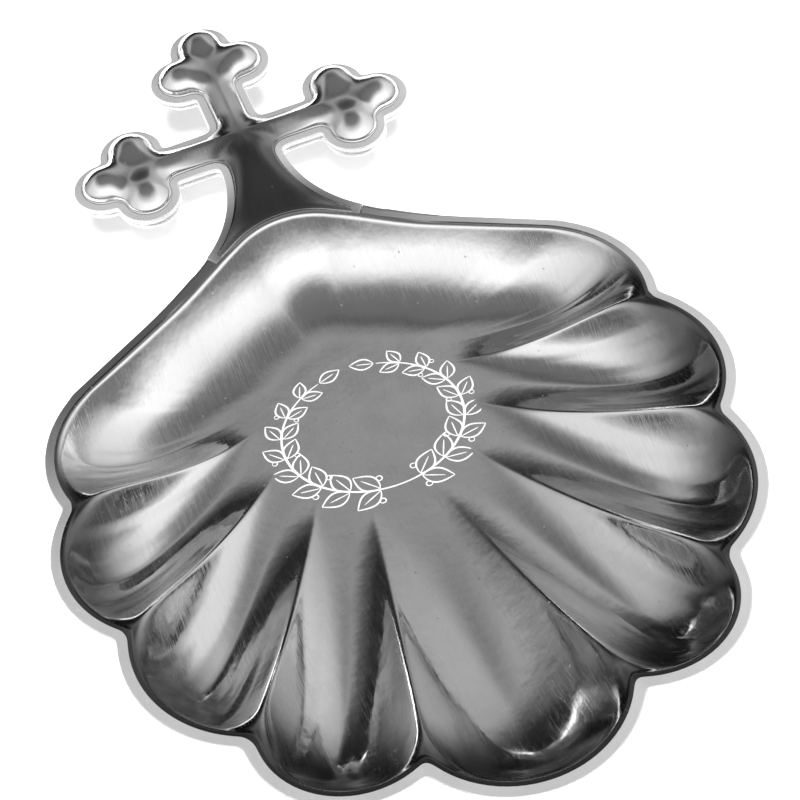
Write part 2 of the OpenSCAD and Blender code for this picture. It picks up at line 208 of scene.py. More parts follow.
class NodeDesk:
    """Adds shader nodes to a tree with little writing."""

    def __init__(self, tree: bpy.types.NodeTree) -> None:
        """Keeps the tree and clears it."""
        self.tree = tree
        tree.nodes.clear()

    def add(self, kind: str, inputs: dict | None = None, **settings: object) -> bpy.types.Node:
        """Adds one node.

        Args:
            kind: Blender's name of the node type.
            inputs: Input sockets by name or number, with a value or an output socket for each.
            settings: Properties of the node.

        Returns:
            The new node.
        """
        node = self.tree.nodes.new(kind)
        for key, value in settings.items():
            setattr(node, key, value)
        for key, value in (inputs or {}).items():
            if isinstance(value, Socket):
                self.tree.links.new(value, node.inputs[key])
            else:
                node.inputs[key].default_value = value
        return node

    def math(self, operation: str, a: object, b: object = 0.0, c: object = 0.0) -> Socket:
        """Adds a Math node and gives its result."""
        return self.add("ShaderNodeMath", {0: a, 1: b, 2: c}, operation=operation).outputs[0]

    def vector(self, operation: str, a: object, b: object = (0.0, 0.0, 0.0)) -> bpy.types.Node:
        """Adds a Vector Math node."""
        return self.add("ShaderNodeVectorMath", {0: a, 1: b}, operation=operation)

    def remap(self, value: object, low: float, high: float, to_low: float, to_high: float) -> Socket:
        """Maps a value smoothly from one range to another."""
        ranges = {0: value, 1: low, 2: high, 3: to_low, 4: to_high}
        return self.add("ShaderNodeMapRange", ranges, interpolation_type="SMOOTHSTEP").outputs[0]

    def noise(self, place: Socket, scale: float, detail: float) -> Socket:
        """Adds a noise texture and gives its value."""
        made = self.add("ShaderNodeTexNoise", {"Vector": place, "Scale": scale, "Detail": detail})
        return made.outputs["Fac"]

    def mix(self, share: object, first: object, second: object) -> Socket:
        """Mixes two colours and gives the result."""
        return self.add("ShaderNodeMix", {0: share, 6: first, 7: second}, data_type="RGBA").outputs[2]


def grey(level: float) -> tuple[float, float, float, float]:
    """Gives a grey colour."""
    return (level, level, level, 1.0)


@dataclass(frozen=True)
class SilverFinish:
    """A finish of silver: its tint, how polished, scratched and tarnished it is, and the shade painted on
    parts of it. Sizes in mm.
    """

    name: str
    slot: Slot
    grain: Grain
    metal: float = 1.0
    tint: float = 0.93
    dark_tint: float = 0.55
    smooth: float = 0.07
    hazy: float = 0.17
    least_rough: float = 0.03
    scratch_haze: float = 0.12
    speck_haze: float = 0.4
    ripple: float = 0.03
    scratch: float = 0.002
    line: float = 0.0006
    patch_scale: float = 0.16
    ripple_scale: float = 0.45
    speck_scale: float = 0.3
    # The next four values paint shade round a spot: the colour darkens there in place of a dark reflection.
    painted_shade_at: tuple[float, float, float] = (0.0, 0.0, 0.0)
    painted_shade_reach: float = 0.0
    painted_shade_tint: float = 0.45
    painted_shade_core: float = 0.4
    # The next four values paint shade on the flute ends near the front, in place of their dark reflections.
    flute_end_shade: float = 1.0
    end_lead: float = 27.03
    end_half_w: float = 44.5
    end_half_l: float = 51.0

    def material(self) -> bpy.types.Material:
        """Makes the node material.

        Returns:
            The material, with haze, polishing lines, scratches, specks, tarnish in the creases and painted
            shade.
        """
        made = bpy.data.materials.new(self.name)
        made.use_nodes = True
        desk = NodeDesk(made.node_tree)
        place = desk.add("ShaderNodeTexCoord").outputs["Object"]
        in_mm = desk.vector("MULTIPLY", place, (1 / MM,) * 3).outputs[0]
        patches = desk.noise(in_mm, self.patch_scale, detail=4.0)
        lines = desk.noise(self._along_grain(desk, in_mm), scale=1.0, detail=3.0)
        scratches = self._scratches(desk, in_mm)

        haze = desk.remap(patches, 0.35, 0.7, self.smooth, self.hazy)
        roughness = desk.math("ADD", haze, desk.remap(lines, 0.35, 0.75, -0.01, 0.02))
        roughness = desk.math("MULTIPLY_ADD", scratches, self.scratch_haze, roughness)
        roughness = desk.math("MULTIPLY_ADD", self._specks(desk, in_mm), self.speck_haze, roughness)
        roughness = desk.math("MAXIMUM", roughness, self.least_rough)

        height = desk.math("MULTIPLY", desk.noise(in_mm, self.ripple_scale, detail=2.0), self.ripple)
        height = desk.math("MULTIPLY_ADD", lines, self.line, height)
        height = desk.math("MULTIPLY_ADD", scratches, -self.scratch, height)
        bump = desk.add("ShaderNodeBump", {"Strength": 1.0, "Distance": MM, "Height": height})
        shader = desk.add("ShaderNodeBsdfPrincipled", {
            "Base Color": self._colour(desk, in_mm, patches), "Metallic": self.metal,
            "Roughness": roughness, "Normal": bump.outputs[0],
        })
        desk.add("ShaderNodeOutputMaterial", {"Surface": shader.outputs[0]})
        return made

    def _colour(self, desk: NodeDesk, in_mm: Socket, patches: Socket) -> Socket:
        """Gives the colour: the tint, darker in creases, with painted shade round one spot and on the flute
        ends.

        Args:
            desk: The material's nodes.
            in_mm: Coordinates in millimetres.
            patches: Coarse noise.

        Returns:
            The colour.
        """
        crease = desk.add("ShaderNodeNewGeometry").outputs["Pointiness"]
        worn = desk.remap(patches, 0.3, 0.6, 0.5, 1.0)
        tarnish = desk.math("MULTIPLY", desk.remap(crease, 0.42, 0.49, 1.0, 0.0), worn)
        warm_dark = (self.dark_tint, self.dark_tint, self.dark_tint * 0.98, 1.0)
        colour = desk.mix(tarnish, grey(self.tint), warm_dark)
        # Painted shade: the colour darkens round one spot, standing in for a dark reflection.
        if self.painted_shade_reach > 0:
            off = desk.vector("DISTANCE", in_mm, self.painted_shade_at).outputs["Value"]
            strength = desk.remap(off, self.painted_shade_reach * self.painted_shade_core, self.painted_shade_reach, 1.0, 0.0)
            colour = desk.mix(strength, colour, grey(self.painted_shade_tint))
        # Painted shade on the flute ends near the front, standing in for their dark reflections.
        if self.flute_end_shade < 1:
            colour = desk.mix(self._painted_end_shade(desk, in_mm, patches), colour, grey(self.flute_end_shade))
        return colour

    def _painted_end_shade(self, desk: NodeDesk, in_mm: Socket, patches: Socket) -> Socket:
        """Gives a mask of painted shade on the ends of the flutes, which lie on an oval before the handle.

        Args:
            desk: The material's nodes.
            in_mm: Coordinates in millimetres.
            patches: Coarse noise, which makes the mask's edge uneven.

        Returns:
            The mask, from 0 inside the oval to 1 at its edge.
        """
        oval = desk.add("ShaderNodeMapping", {
            "Vector": in_mm,
            "Location": (0.0, self.end_lead / self.end_half_l, 0.0),
            "Scale": (1 / self.end_half_w, 1 / self.end_half_l, 0.0),
        }).outputs[0]
        share = desk.math("MULTIPLY_ADD", patches, 0.06, desk.vector("LENGTH", oval).outputs["Value"])
        along = desk.add("ShaderNodeSeparateXYZ", {0: oval}).outputs[1]
        front = desk.remap(along, 0.25, 0.5, 1.0, 0.0)
        return desk.math("MULTIPLY", desk.remap(share, 0.76, 0.96, 0.0, 1.0), front)

    def _along_grain(self, desk: NodeDesk, in_mm: Socket) -> Socket:
        """Stretches coordinates along the polishing lines.

        Args:
            desk: The material's nodes.
            in_mm: Coordinates in millimetres.

        Returns:
            The stretched coordinates.
        """
        axes = desk.add("ShaderNodeSeparateXYZ", {0: in_mm}).outputs
        if self.grain is Grain.ALONG_HANDLE:
            across = desk.math("MULTIPLY", axes[0], 3.0)
            run = axes[1]
        else:
            turn = desk.math("ARCTAN2", axes[0], desk.math("MULTIPLY", axes[1], -1.0))
            across = desk.math("MULTIPLY", turn, 110.0)
            flat = desk.math("MULTIPLY", axes[1], axes[1])
            run = desk.math("SQRT", desk.math("MULTIPLY_ADD", axes[0], axes[0], flat))
        run = desk.math("MULTIPLY", run, 0.12)
        return desk.add("ShaderNodeCombineXYZ", {0: across, 1: run, 2: axes[2]}).outputs[0]

    def _scratches(self, desk: NodeDesk, in_mm: Socket) -> Socket:
        """Makes a mask of thin random handling scratches in three directions.

        Args:
            desk: The material's nodes.
            in_mm: Coordinates in millimetres.

        Returns:
            The mask, 1 on a scratch.
        """
        total = None
        for turn, shift in ((0.4, 3.0), (1.5, 17.0), (2.5, 41.0)):
            turned = desk.add("ShaderNodeMapping", {
                "Vector": in_mm, "Location": (shift, shift * 1.7, 0.0), "Rotation": (0.0, 0.0, turn),
                "Scale": (2.2, 0.07, 0.2),
            }).outputs[0]
            off_line = desk.math("SUBTRACT", desk.noise(turned, scale=1.0, detail=1.0), 0.5)
            mask = desk.remap(desk.math("ABSOLUTE", off_line), 0.0, 0.008, 1.0, 0.0)
            total = mask if total is None else desk.math("MAXIMUM", total, mask)
        return total

    def _specks(self, desk: NodeDesk, in_mm: Socket) -> Socket:
        """Makes a mask of tiny scattered dull specks.

        Args:
            desk: The material's nodes.
            in_mm: Coordinates in millimetres.

        Returns:
            The mask, 1 on a speck.
        """
        spread = {"Vector": in_mm, "Scale": self.speck_scale, "Randomness": 1.0}
        cells = desk.add("ShaderNodeTexVoronoi", spread)
        return desk.remap(cells.outputs["Distance"], 0.03, 0.07, 1.0, 0.0)


@dataclass(frozen=True)
class CutFinish:
    """The frosted, light look of freshly cut engraving."""

    name: str = "engraved_cut"
    metal: float = 0.35
    tint: float = 0.95
    tint_change: float = 0.15
    roughness: float = 0.5
    roughness_change: float = 0.1

    def material(self) -> bpy.types.Material:
        """Makes the node material.

        Returns:
            The material, with a slight change of brightness along the cuts.
        """
        made = bpy.data.materials.new(self.name)
        made.use_nodes = True
        desk = NodeDesk(made.node_tree)
        noise = desk.noise(desk.add("ShaderNodeTexCoord").outputs["Object"], scale=900.0, detail=2.0)
        tint = desk.remap(noise, 0.3, 0.7, self.tint - self.tint_change, self.tint)
        shader = desk.add("ShaderNodeBsdfPrincipled", {
            "Base Color": desk.add("ShaderNodeCombineColor", {0: tint, 1: tint, 2: tint}).outputs[0],
            "Metallic": self.metal,
            "Roughness": desk.remap(noise, 0.3, 0.7, self.roughness - self.roughness_change,
                                    self.roughness + self.roughness_change),
        })
        desk.add("ShaderNodeOutputMaterial", {"Surface": shader.outputs[0]})
        return made


# Pieces


def make_piece(name: str, points: Array, faces: Sequence[Sequence[int]], material: bpy.types.Material,
               stands_for: str | None = None) -> bpy.types.Object:
    """Makes a smooth-shaded piece that rides on the part's one body.

    Args:
        name: Name of the piece.
        points: Points in millimetres.
        faces: Corners of each face, anticlockwise from outside.
        material: Material of all faces.
        stands_for: Name of the solid that the piece replaces, if any.

    Returns:
        The new object.
    """
    mesh = bpy.data.meshes.new(name)
    mesh.from_pydata((np.asarray(points) * MM).tolist(), [], [list(map(int, f)) for f in faces])
    mesh.validate()
    mesh.polygons.foreach_set("use_smooth", np.ones(len(mesh.polygons), dtype=bool))
    mesh.materials.append(material)
    mesh.update()
    piece = bpy.data.objects.new(name, mesh)
    bpy.context.scene.collection.objects.link(piece)
    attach(piece, "root")
    if stands_for:
        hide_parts(stands_for)
    LOG.info("%s: %d points, %d faces", name, len(mesh.vertices), len(mesh.polygons))
    return piece


@dataclass(frozen=True)
class Lap:
    """Sheets and solder where the handle laps over the bowl's tab. Sizes in mm."""

    front_t: float = 0.8
    back_t: float = 0.8
    solder_t: float = 0.1
    tab_reach: float = 4.5
    foot_show: float = 0.75


@dataclass
class RimPlan:
    """Outline of the bowl from above, and the root where the handle joins. Sizes in mm and degrees."""

    lap: Lap = Lap()
    ridge_angles: tuple[float, ...] = (9.9, 25.8, 44.5, 67.4)
    ridge_lens: tuple[float, ...] = (71.0, 65.7, 54.2, 42.5)
    bulges: tuple[float, ...] = (8.5, 6.3, 4.5, 4.7, 3.6)
    shoulder_angle: float = 95.1
    shoulder_len: float = 33.2
    shoulder_slope: float = 31.8
    shoulder_bulge: float = 0.1
    arch_r: float = 12.0
    rim_w: float = 2.1
    notch_round: float = 0.4
    mean_steps: int = 4
    mean_turn: float = 4.0

    def __post_init__(self) -> None:
        """Works out the stations along half of the rim and the arcs between them."""
        slope = np.radians(self.shoulder_slope)
        self.out = np.array([np.sin(slope), np.cos(slope)])
        corner = polar(np.array(self.shoulder_angle), np.array(self.shoulder_len))
        self.shoulder_dist = float(self.out @ corner)
        self.arch_y = (self.shoulder_dist - self.arch_r) / self.out[1]
        self.arch_top = self.arch_y + self.arch_r
        root = np.array([0.0, self.arch_y]) + self.arch_r * self.out
        stations = [polar(np.array(a), np.array(r)) for a, r in zip(self.ridge_angles, self.ridge_lens)]
        stations += [corner, root]
        self.angles = np.array([*self.ridge_angles, self.shoulder_angle, angle_of(root)])
        chain = [stations[0] * (-1.0, 1.0), *stations]
        bulges = (*self.bulges, self.shoulder_bulge)
        self.arcs = [self._arc(a, b, s) for a, b, s in zip(chain, chain[1:], bulges)]
        self.arcs.append((np.array([0.0, self.arch_y]), self.arch_r))

    @staticmethod
    def _arc(a: Array, b: Array, bulge: float) -> tuple[Array, float]:
        """Finds the circle through two points that bulges past their line.

        Args:
            a: First point.
            b: Second point, anticlockwise from the first.
            bulge: Height of the arc over the line.

        Returns:
            The circle's centre and radius.
        """
        chord = float(np.linalg.norm(b - a))
        radius = (chord * chord / 4 + bulge * bulge) / (2 * bulge)
        normal = np.array([b[1] - a[1], a[0] - b[0]]) / chord
        return (a + b) / 2 + normal * (bulge - radius), radius

    @staticmethod
    def reach(arc: tuple[Array, float], grow: float, angle: Array) -> Array:
        """Gives the distance along rays to the far side of a grown circle.

        Args:
            arc: Centre and radius of the circle.
            grow: Growth of its radius.
            angle: Angles of the rays in degrees.

        Returns:
            Distances from the origin, 0 where a ray misses the circle.
        """
        along = polar(angle, np.ones_like(angle)) @ arc[0]
        left = (arc[1] + grow) ** 2 - arc[0] @ arc[0] + along * along
        return np.where(left < 0, 0.0, along + np.sqrt(np.maximum(left, 0.0)))

    def edge(self, angle: Array, grow: float) -> Array:
        """Gives the distance to the rim's crest, or to a line outside it.

        Args:
            angle: Angles in degrees.
            grow: Distance outside the crest.

        Returns:
            Distances from the origin.
        """
        turn = folded(angle)
        section = np.searchsorted(self.angles, turn, side="right")
        reaches = np.stack([self.reach(arc, grow, turn) for arc in self.arcs])
        lobes = len(self.bulges)
        chosen = np.take_along_axis(reaches, section[None, :], 0)[0]
        for shift in (-1, 1):
            near = np.clip(section + shift, 0, lobes - 1)
            beside = np.take_along_axis(reaches, near[None, :], 0)[0]
            chosen = np.where(section < lobes, np.maximum(chosen, beside), chosen)
        return chosen

    def crest(self, angle: Array) -> Array:
        """Gives the distance to the rim's crest, with its corners rounded."""
        return blurred(lambda a: self.edge(a, 0.0), angle, self.notch_round)

    def facing(self, angle: Array) -> Array:
        """Tells how squarely rays meet the rim, evened out over nearby angles.

        Args:
            angle: Angles of the rays in degrees.

        Returns:
            Values up to 1, which stands for square.
        """
        steps = np.arange(-self.mean_steps, self.mean_steps + 1)
        weights = self.mean_steps + 1 - np.abs(steps)
        total = sum(w * self._square(angle + k * self.mean_turn) for k, w in zip(steps, weights))
        return total / weights.sum()

    def _square(self, angle: Array) -> Array:
        """Compares rays with the outward direction of the rim that they meet.

        Args:
            angle: Angles of the rays in degrees.

        Returns:
            The cosine between each ray and that direction.
        """
        turn = folded(angle)
        section = np.searchsorted(self.angles, turn, side="right")
        ray = polar(turn, np.ones_like(turn))
        choices = [(self.reach(arc, 0.0, turn) - ray @ arc[0]) / arc[1] for arc in self.arcs]
        return np.choose(section, choices)

    def shoulder_y(self, x: Array, grow: float) -> Array:
        """Gives the y of a line outside the straight shoulder."""
        return (self.shoulder_dist + grow - self.out[0] * x) / self.out[1]


@dataclass
class HandlePlane:
    """The tilted plane of the handle, with x across and v along the slope. Sizes in mm and degrees."""

    plan: RimPlan
    rim_z: float
    tilt: float = 8.0
    hinge_lead: float = 12.5
    rise_start: float = 10.5
    rise_end: float = 2.5

    def __post_init__(self) -> None:
        """Works out the hinge line and the slope."""
        self.hinge_y = self.plan.arch_top - self.hinge_lead
        self.cos = float(np.cos(np.radians(self.tilt)))
        self.sin = float(np.sin(np.radians(self.tilt)))

    def rise(self, y: Array) -> Array:
        """Gives how far the rim is lifted to meet the handle.

        Args:
            y: Places along the model.

        Returns:
            Heights over the rim's own level.
        """
        start = self.plan.arch_top - self.rise_start
        length = self.rise_start - self.rise_end
        return (y - self.hinge_y) * self.sin / self.cos * ease((y - start) / length)

    def to_v(self, y: Array) -> Array:
        """Gives the place along the slope for a y of the model."""
        return (y - self.hinge_y) / self.cos

    def lift(self, flat: Array, w: Array) -> Array:
        """Places points of the handle's plane in the model.

        Args:
            flat: Points with x and v.
            w: Heights above the plane.

        Returns:
            Points with x, y and z.
        """
        y = self.hinge_y + flat[:, 1] * self.cos - w * self.sin
        z = self.rim_z + flat[:, 1] * self.sin + w * self.cos
        return np.stack([flat[:, 0], y, z], axis=1)


@dataclass
class ShellBowl:
    """The stamped bowl: floor, nine flutes, crest, flat rim and the tab under the handle. Sizes in mm."""

    plan: RimPlan
    finish: SilverFinish
    rim_finish: SilverFinish
    sheet: float = 0.9
    depth: float = 9.5
    rim_drop: float = 0.3
    rim_slope: float = 1.8
    floor_half_w: float = 9.0
    floor_half_l: float = 10.0
    floor_lead: float = 6.0
    ridge_power: float = 1.7
    ridge_start: float = 0.38
    ridge_climb: float = 1.5
    ridge_round: float = 0.4
    crest_round: float = 0.55
    crest_zone: float = 4.0
    edge_blur: float = 0.35
    seam: float = 0.06
    step_w: float = 0.15
    strip_share: float = 0.55
    level_share: float = 0.8
    tab_inset: float = 0.5
    tip_cover: float = 4.0
    tip_step: float = 0.03
    steep_limit: float = 2.0
    half_columns: int = 330
    angle_samples: int = 7201
    ridge_gather: float = 5.0
    ridge_spread: float = 1.4
    first_share: float = 0.04
    floor_share: float = 0.4
    ring_crowding: float = 0.8
    floor_rings: int = 12
    inner_rings: int = 84
    fade_rings: int = 14
    flange_rings: int = 16
    polished_rings: int = 5
    edge_steps: int = 8

    def __post_init__(self) -> None:
        """Works out the rim's height and the handle's plane."""
        self.rim_z = self.sheet + self.depth
        self.plane = HandlePlane(self.plan, self.rim_z)
        self.step_z = (self.plan.lap.front_t + self.plan.lap.solder_t) / self.plane.cos

    def columns(self, tip_angle: float) -> Array:
        """Gives the angles of the rays that points lie on, closer together near the ridges.

        Args:
            tip_angle: Angle of the handle's tip, which gets a close pair of rays.

        Returns:
            Angles in degrees all round the bowl.
        """
        fine = np.linspace(0.0, 180.0, self.angle_samples)
        density = np.ones_like(fine)
        for ridge in self.plan.ridge_angles:
            density += self.ridge_gather * np.exp(-(((fine - ridge) / self.ridge_spread) ** 2))
        total = np.concatenate([[0.0], np.cumsum((density[1:] + density[:-1]) / 2)])
        half = np.interp(np.linspace(0.0, total[-1], self.half_columns + 1), total, fine)
        at_tip = int(np.argmin(np.abs(half - tip_angle)))
        half[at_tip] = tip_angle
        half = np.insert(half, at_tip + 1, tip_angle + self.tip_step)
        return np.concatenate([half, -half[-2:0:-1]])

    def ridge_share(self, angle: Array, radius: Array) -> Array:
        """Gives the place across a flute, from 0 in the channel to 1 on a ridge, with rounded ridge tops.

        Args:
            angle: Angles in degrees.
            radius: Distances from the origin.

        Returns:
            Shares, of the shape that angle and radius make together.
        """
        turn = np.abs(angle)
        middles = [0.0]
        ridges = list(self.plan.ridge_angles)
        middles += [(a + b) / 2 for a, b in zip(ridges, ridges[1:])]
        middles.append((ridges[-1] + self.plan.shoulder_angle) / 2)
        share = np.zeros(np.broadcast(turn, radius).shape)
        arc = np.radians(1.0) * np.maximum(radius, 1.0)
        for low, ridge, high in zip(middles, ridges, middles[1:]):
            for edge, side in ((low, turn <= ridge), (high, turn > ridge)):
                off = np.abs(turn - ridge) * arc
                half = abs(ridge - edge) * arc
                soft = self.ridge_round
                part = (np.hypot(off, soft) - soft) / (np.hypot(half, soft) - soft)
                here = side & (np.abs(turn - ridge) <= abs(ridge - edge))
                share = np.where(here, np.clip(1.0 - part, 0.0, 1.0), share)
        return share

    def floor_edge(self, angle: Array) -> Array:
        """Gives the distance along rays to the edge of the oval floor that the walls rise from.

        Args:
            angle: Angles of the rays in degrees.

        Returns:
            Distances from the origin.
        """
        turn = np.radians(angle)
        ray = np.stack([np.sin(turn) / self.floor_half_w, -np.cos(turn) / self.floor_half_l])
        lead = self.floor_lead / self.floor_half_l
        square = (ray**2).sum(axis=0)
        along = ray[1] * lead
        return (np.sqrt(along**2 + square * (1.0 - lead**2)) - along) / square

    def top(self, angle: Array, radius: Array, crest: Array) -> Array:
        """Gives the height of the bowl's upper face inside and just outside the crest.

        Args:
            angle: Angles in degrees.
            radius: Distances from the origin.
            crest: Distance to the crest at each angle.

        Returns:
            Heights above the table.
        """
        share = radius / crest
        run = crest - self.floor_edge(angle)
        power = self.rim_slope * self.plan.facing(angle) * run / self.depth
        wall = np.maximum(0.0, 1.0 - (crest - radius) / run) ** power
        start = np.maximum(0.0, share - self.ridge_start) / (1.0 - self.ridge_start)
        ridge = np.minimum(start, 1.0) ** self.ridge_climb
        inside = np.minimum(wall, 1.0)
        ridge *= self.ridge_share(angle, radius) ** self.ridge_power
        climb = wall + (1.0 - inside) * ridge
        lift = self.plane.rise(-crest * np.cos(np.radians(angle)))
        return self.sheet + (self.depth + lift) * climb

    def flange_edge(self, angle: Array, flare: "NeckFlare") -> Array:
        """Gives the distance to the outer edge of the rim and of the tab under the handle.

        Args:
            angle: Angles of the rays in degrees.
            flare: The curve of the handle's neck.

        Returns:
            Distances from the origin.
        """
        turn = folded(angle)
        rim = self.plan.edge(angle, self.plan.rim_w)
        tab_end = self.plan.arch_top + self.plan.lap.tab_reach
        tab = flare.ray_reach(turn, tab_end, self.tab_inset)
        bare = flare.ray_reach(turn, tab_end, 0.0)
        beside = np.where(turn > flare.tip_angle + self.tip_cover, tab, bare)
        return np.where(turn >= flare.start_angle, beside, rim)

    def build(self, flare: "NeckFlare") -> bpy.types.Object:
        """Makes the bowl's mesh and dresses it.

        Args:
            flare: The curve of the handle's neck, which the tab and the shoulders follow.

        Returns:
            The piece.
        """
        angle = self.columns(flare.tip_angle)
        crest = self.plan.crest(angle)
        root = np.abs(angle) > flare.tip_angle
        floor_part = np.linspace(self.first_share, self.floor_share, self.floor_rings, endpoint=False)
        wall_part = np.linspace(0.0, 1.0, self.inner_rings)[:-1] ** self.ring_crowding
        wall_part = self.floor_share + (1.0 - self.floor_share) * wall_part
        radii = [share * crest for share in np.concatenate([floor_part, wall_part])]
        heights = [self.top(angle, r, crest) for r in radii]
        self._add_flange(radii, heights, angle, crest, flare)
        self._round_crest(radii, heights, angle, crest)
        edge = self._edge_rings(radii, heights)
        return self._mesh(angle, radii, heights, edge, root)

    def _add_flange(self, radii: list[Array], heights: list[Array], angle: Array, crest: Array,
                    flare: "NeckFlare") -> None:
        """Adds the rings of the rim, and of the bare strip and the lower tab under the handle.

        Args:
            radii: Distances to the rings so far, which grow.
            heights: Heights of the rings so far, which grow.
            angle: Angles of the rays in degrees.
            crest: Distance to the crest at each angle.
            flare: The curve of the handle's neck.
        """
        turn = np.abs(angle)
        root = turn > flare.tip_angle
        outer = blurred(lambda a: self.flange_edge(a, flare), angle, self.edge_blur)
        outer = np.where(root, self.flange_edge(angle, flare), outer)
        fade = (flare.start_angle - turn) / (flare.start_angle - self.plan.shoulder_angle)
        drop = self.rim_drop * np.clip(fade, 0.0, 1.0)
        foot = self.plan.edge(angle, self.plan.lap.foot_show) - self.seam
        strip = self.strip_share
        for share in np.linspace(0.0, 1.0, self.flange_rings):
            plain = crest + share * (outer - crest)
            on_strip = crest + min(share / strip, 1.0) * (foot - crest)
            past = max(share - strip, 0.0) / (1.0 - strip)
            tucked = foot + self.step_w + past * (outer - foot - self.step_w)
            radius = np.where(root, np.where(share <= strip, on_strip, tucked), plain)
            y = -radius * np.cos(np.radians(angle))
            flat = self.rim_z + self.plane.rise(y)
            slope = flat - drop * share
            stepped = np.where(share <= strip, flat, flat - self.step_z)
            level = np.where(root, stepped, slope)
            wall = self.top(angle, radius, crest)
            lowered = soft_min(wall, level, self.crest_round)
            heights.append(np.where(share < self.level_share, np.minimum(lowered, level), level))
            radii.append(radius)

    def _round_crest(self, radii: list[Array], heights: list[Array], angle: Array, crest: Array) -> None:
        """Rounds the wall into the rim on the rings just inside the crest.

        Args:
            radii: Distances to the rings.
            heights: Heights of the rings, which are changed.
            angle: Angles of the rays in degrees.
            crest: Distance to the crest at each angle.
        """
        level = self.rim_z + self.plane.rise(-crest * np.cos(np.radians(angle)))
        for ring, radius in enumerate(radii):
            gap = crest - radius
            near = (gap > 0) & (gap < self.crest_zone)
            rounded = soft_min(heights[ring], level, self.crest_round)
            heights[ring] = np.where(near, rounded, heights[ring])

    def _edge_rings(self, radii: list[Array], heights: list[Array]) -> tuple[list[Array], list[Array]]:
        """Makes room for the rounded outer edge and gives its rings.

        Args:
            radii: Distances to the upper face's rings, of which the last is drawn in.
            heights: Heights of these rings.

        Returns:
            Distances and heights of the edge's rings, from the top down to the underside.
        """
        outer, level = radii[-1], heights[-1]
        ring_r, ring_z = [], []
        radius = self.sheet / 2
        radii[-1] = outer - radius
        for turn in np.linspace(0.0, np.pi, self.edge_steps + 1)[1:-1]:
            ring_r.append(outer - radius + radius * np.sin(turn))
            ring_z.append(level - radius + radius * np.cos(turn))
        return ring_r, ring_z

    def _mesh(self, angle: Array, radii: list[Array], heights: list[Array],
              edge: tuple[list[Array], list[Array]], root: Array) -> bpy.types.Object:
        """Joins the rings of both faces into one closed mesh.

        Args:
            angle: Angles of the rays.
            radii: Distances to the upper face's rings along the rays.
            heights: Heights of these rings.
            edge: Distances and heights of the outer edge's rings.
            root: Whether each ray runs under the handle's foot, where the whole bare strip is polished.

        Returns:
            The piece.
        """
        top_r, top_z = np.array(radii), np.array(heights)
        thick = self._thickness(top_r, top_z)
        rings_r = np.vstack([top_r, edge[0], top_r[::-1]])
        rings_z = np.vstack([top_z, edge[1], (top_z - thick)[::-1]])
        rings_z = np.maximum(rings_z, 0.0)
        flat = polar(angle[None, :], rings_r)
        points = np.concatenate([flat, rings_z[..., None]], axis=2).reshape(-1, 3)
        rings, count = rings_r.shape
        index = np.arange(rings * count).reshape(rings, count)
        nxt = np.roll(index, -1, axis=1)
        quads = np.stack([index[:-1], index[1:], nxt[1:], nxt[:-1]], axis=-1).reshape(-1, 4)
        top_mid, low_mid = len(points), len(points) + 1
        points = np.vstack([points, [[0.0, 0.0, self.sheet], [0.0, 0.0, 0.0]]])
        fans = [(top_mid, index[0, j], nxt[0, j]) for j in range(count)]
        fans += [(low_mid, nxt[-1, j], index[-1, j]) for j in range(count)]
        faces = [*quads.tolist(), *fans]
        piece = make_piece("bowl", points, faces, self.finish.material(), "shell_bowl")
        piece.data.materials.append(self.rim_finish.material())
        first = len(radii) - self.flange_rings + self.polished_rings
        on_rim = np.zeros(len(faces), dtype=np.int32)
        on_rim[first * count : (len(radii) + len(edge[0])) * count] = 1
        on_rim[: len(quads)].reshape(-1, count)[:, root] = 0
        piece.data.polygons.foreach_set("material_index", on_rim)
        return piece

    def _thickness(self, radii: Array, heights: Array) -> Array:
        """Gives the sheet's upright thickness, which grows where the wall is steep.

        Args:
            radii: Distances to the upper face's rings.
            heights: Heights of these rings.

        Returns:
            Thicknesses at the same points.
        """
        slope = np.gradient(heights, axis=0) / np.maximum(np.gradient(radii, axis=0), 1e-3)
        steep = np.minimum(np.sqrt(1.0 + slope**2), self.steep_limit)
        inner = len(radii) - self.flange_rings
        steep[inner:] = 1.0
        near = slice(inner - self.fade_rings, inner)
        steep[near] = 1.0 + (steep[near] - 1.0) * np.linspace(1.0, 0.0, self.fade_rings)[:, None]
        return self.sheet * steep


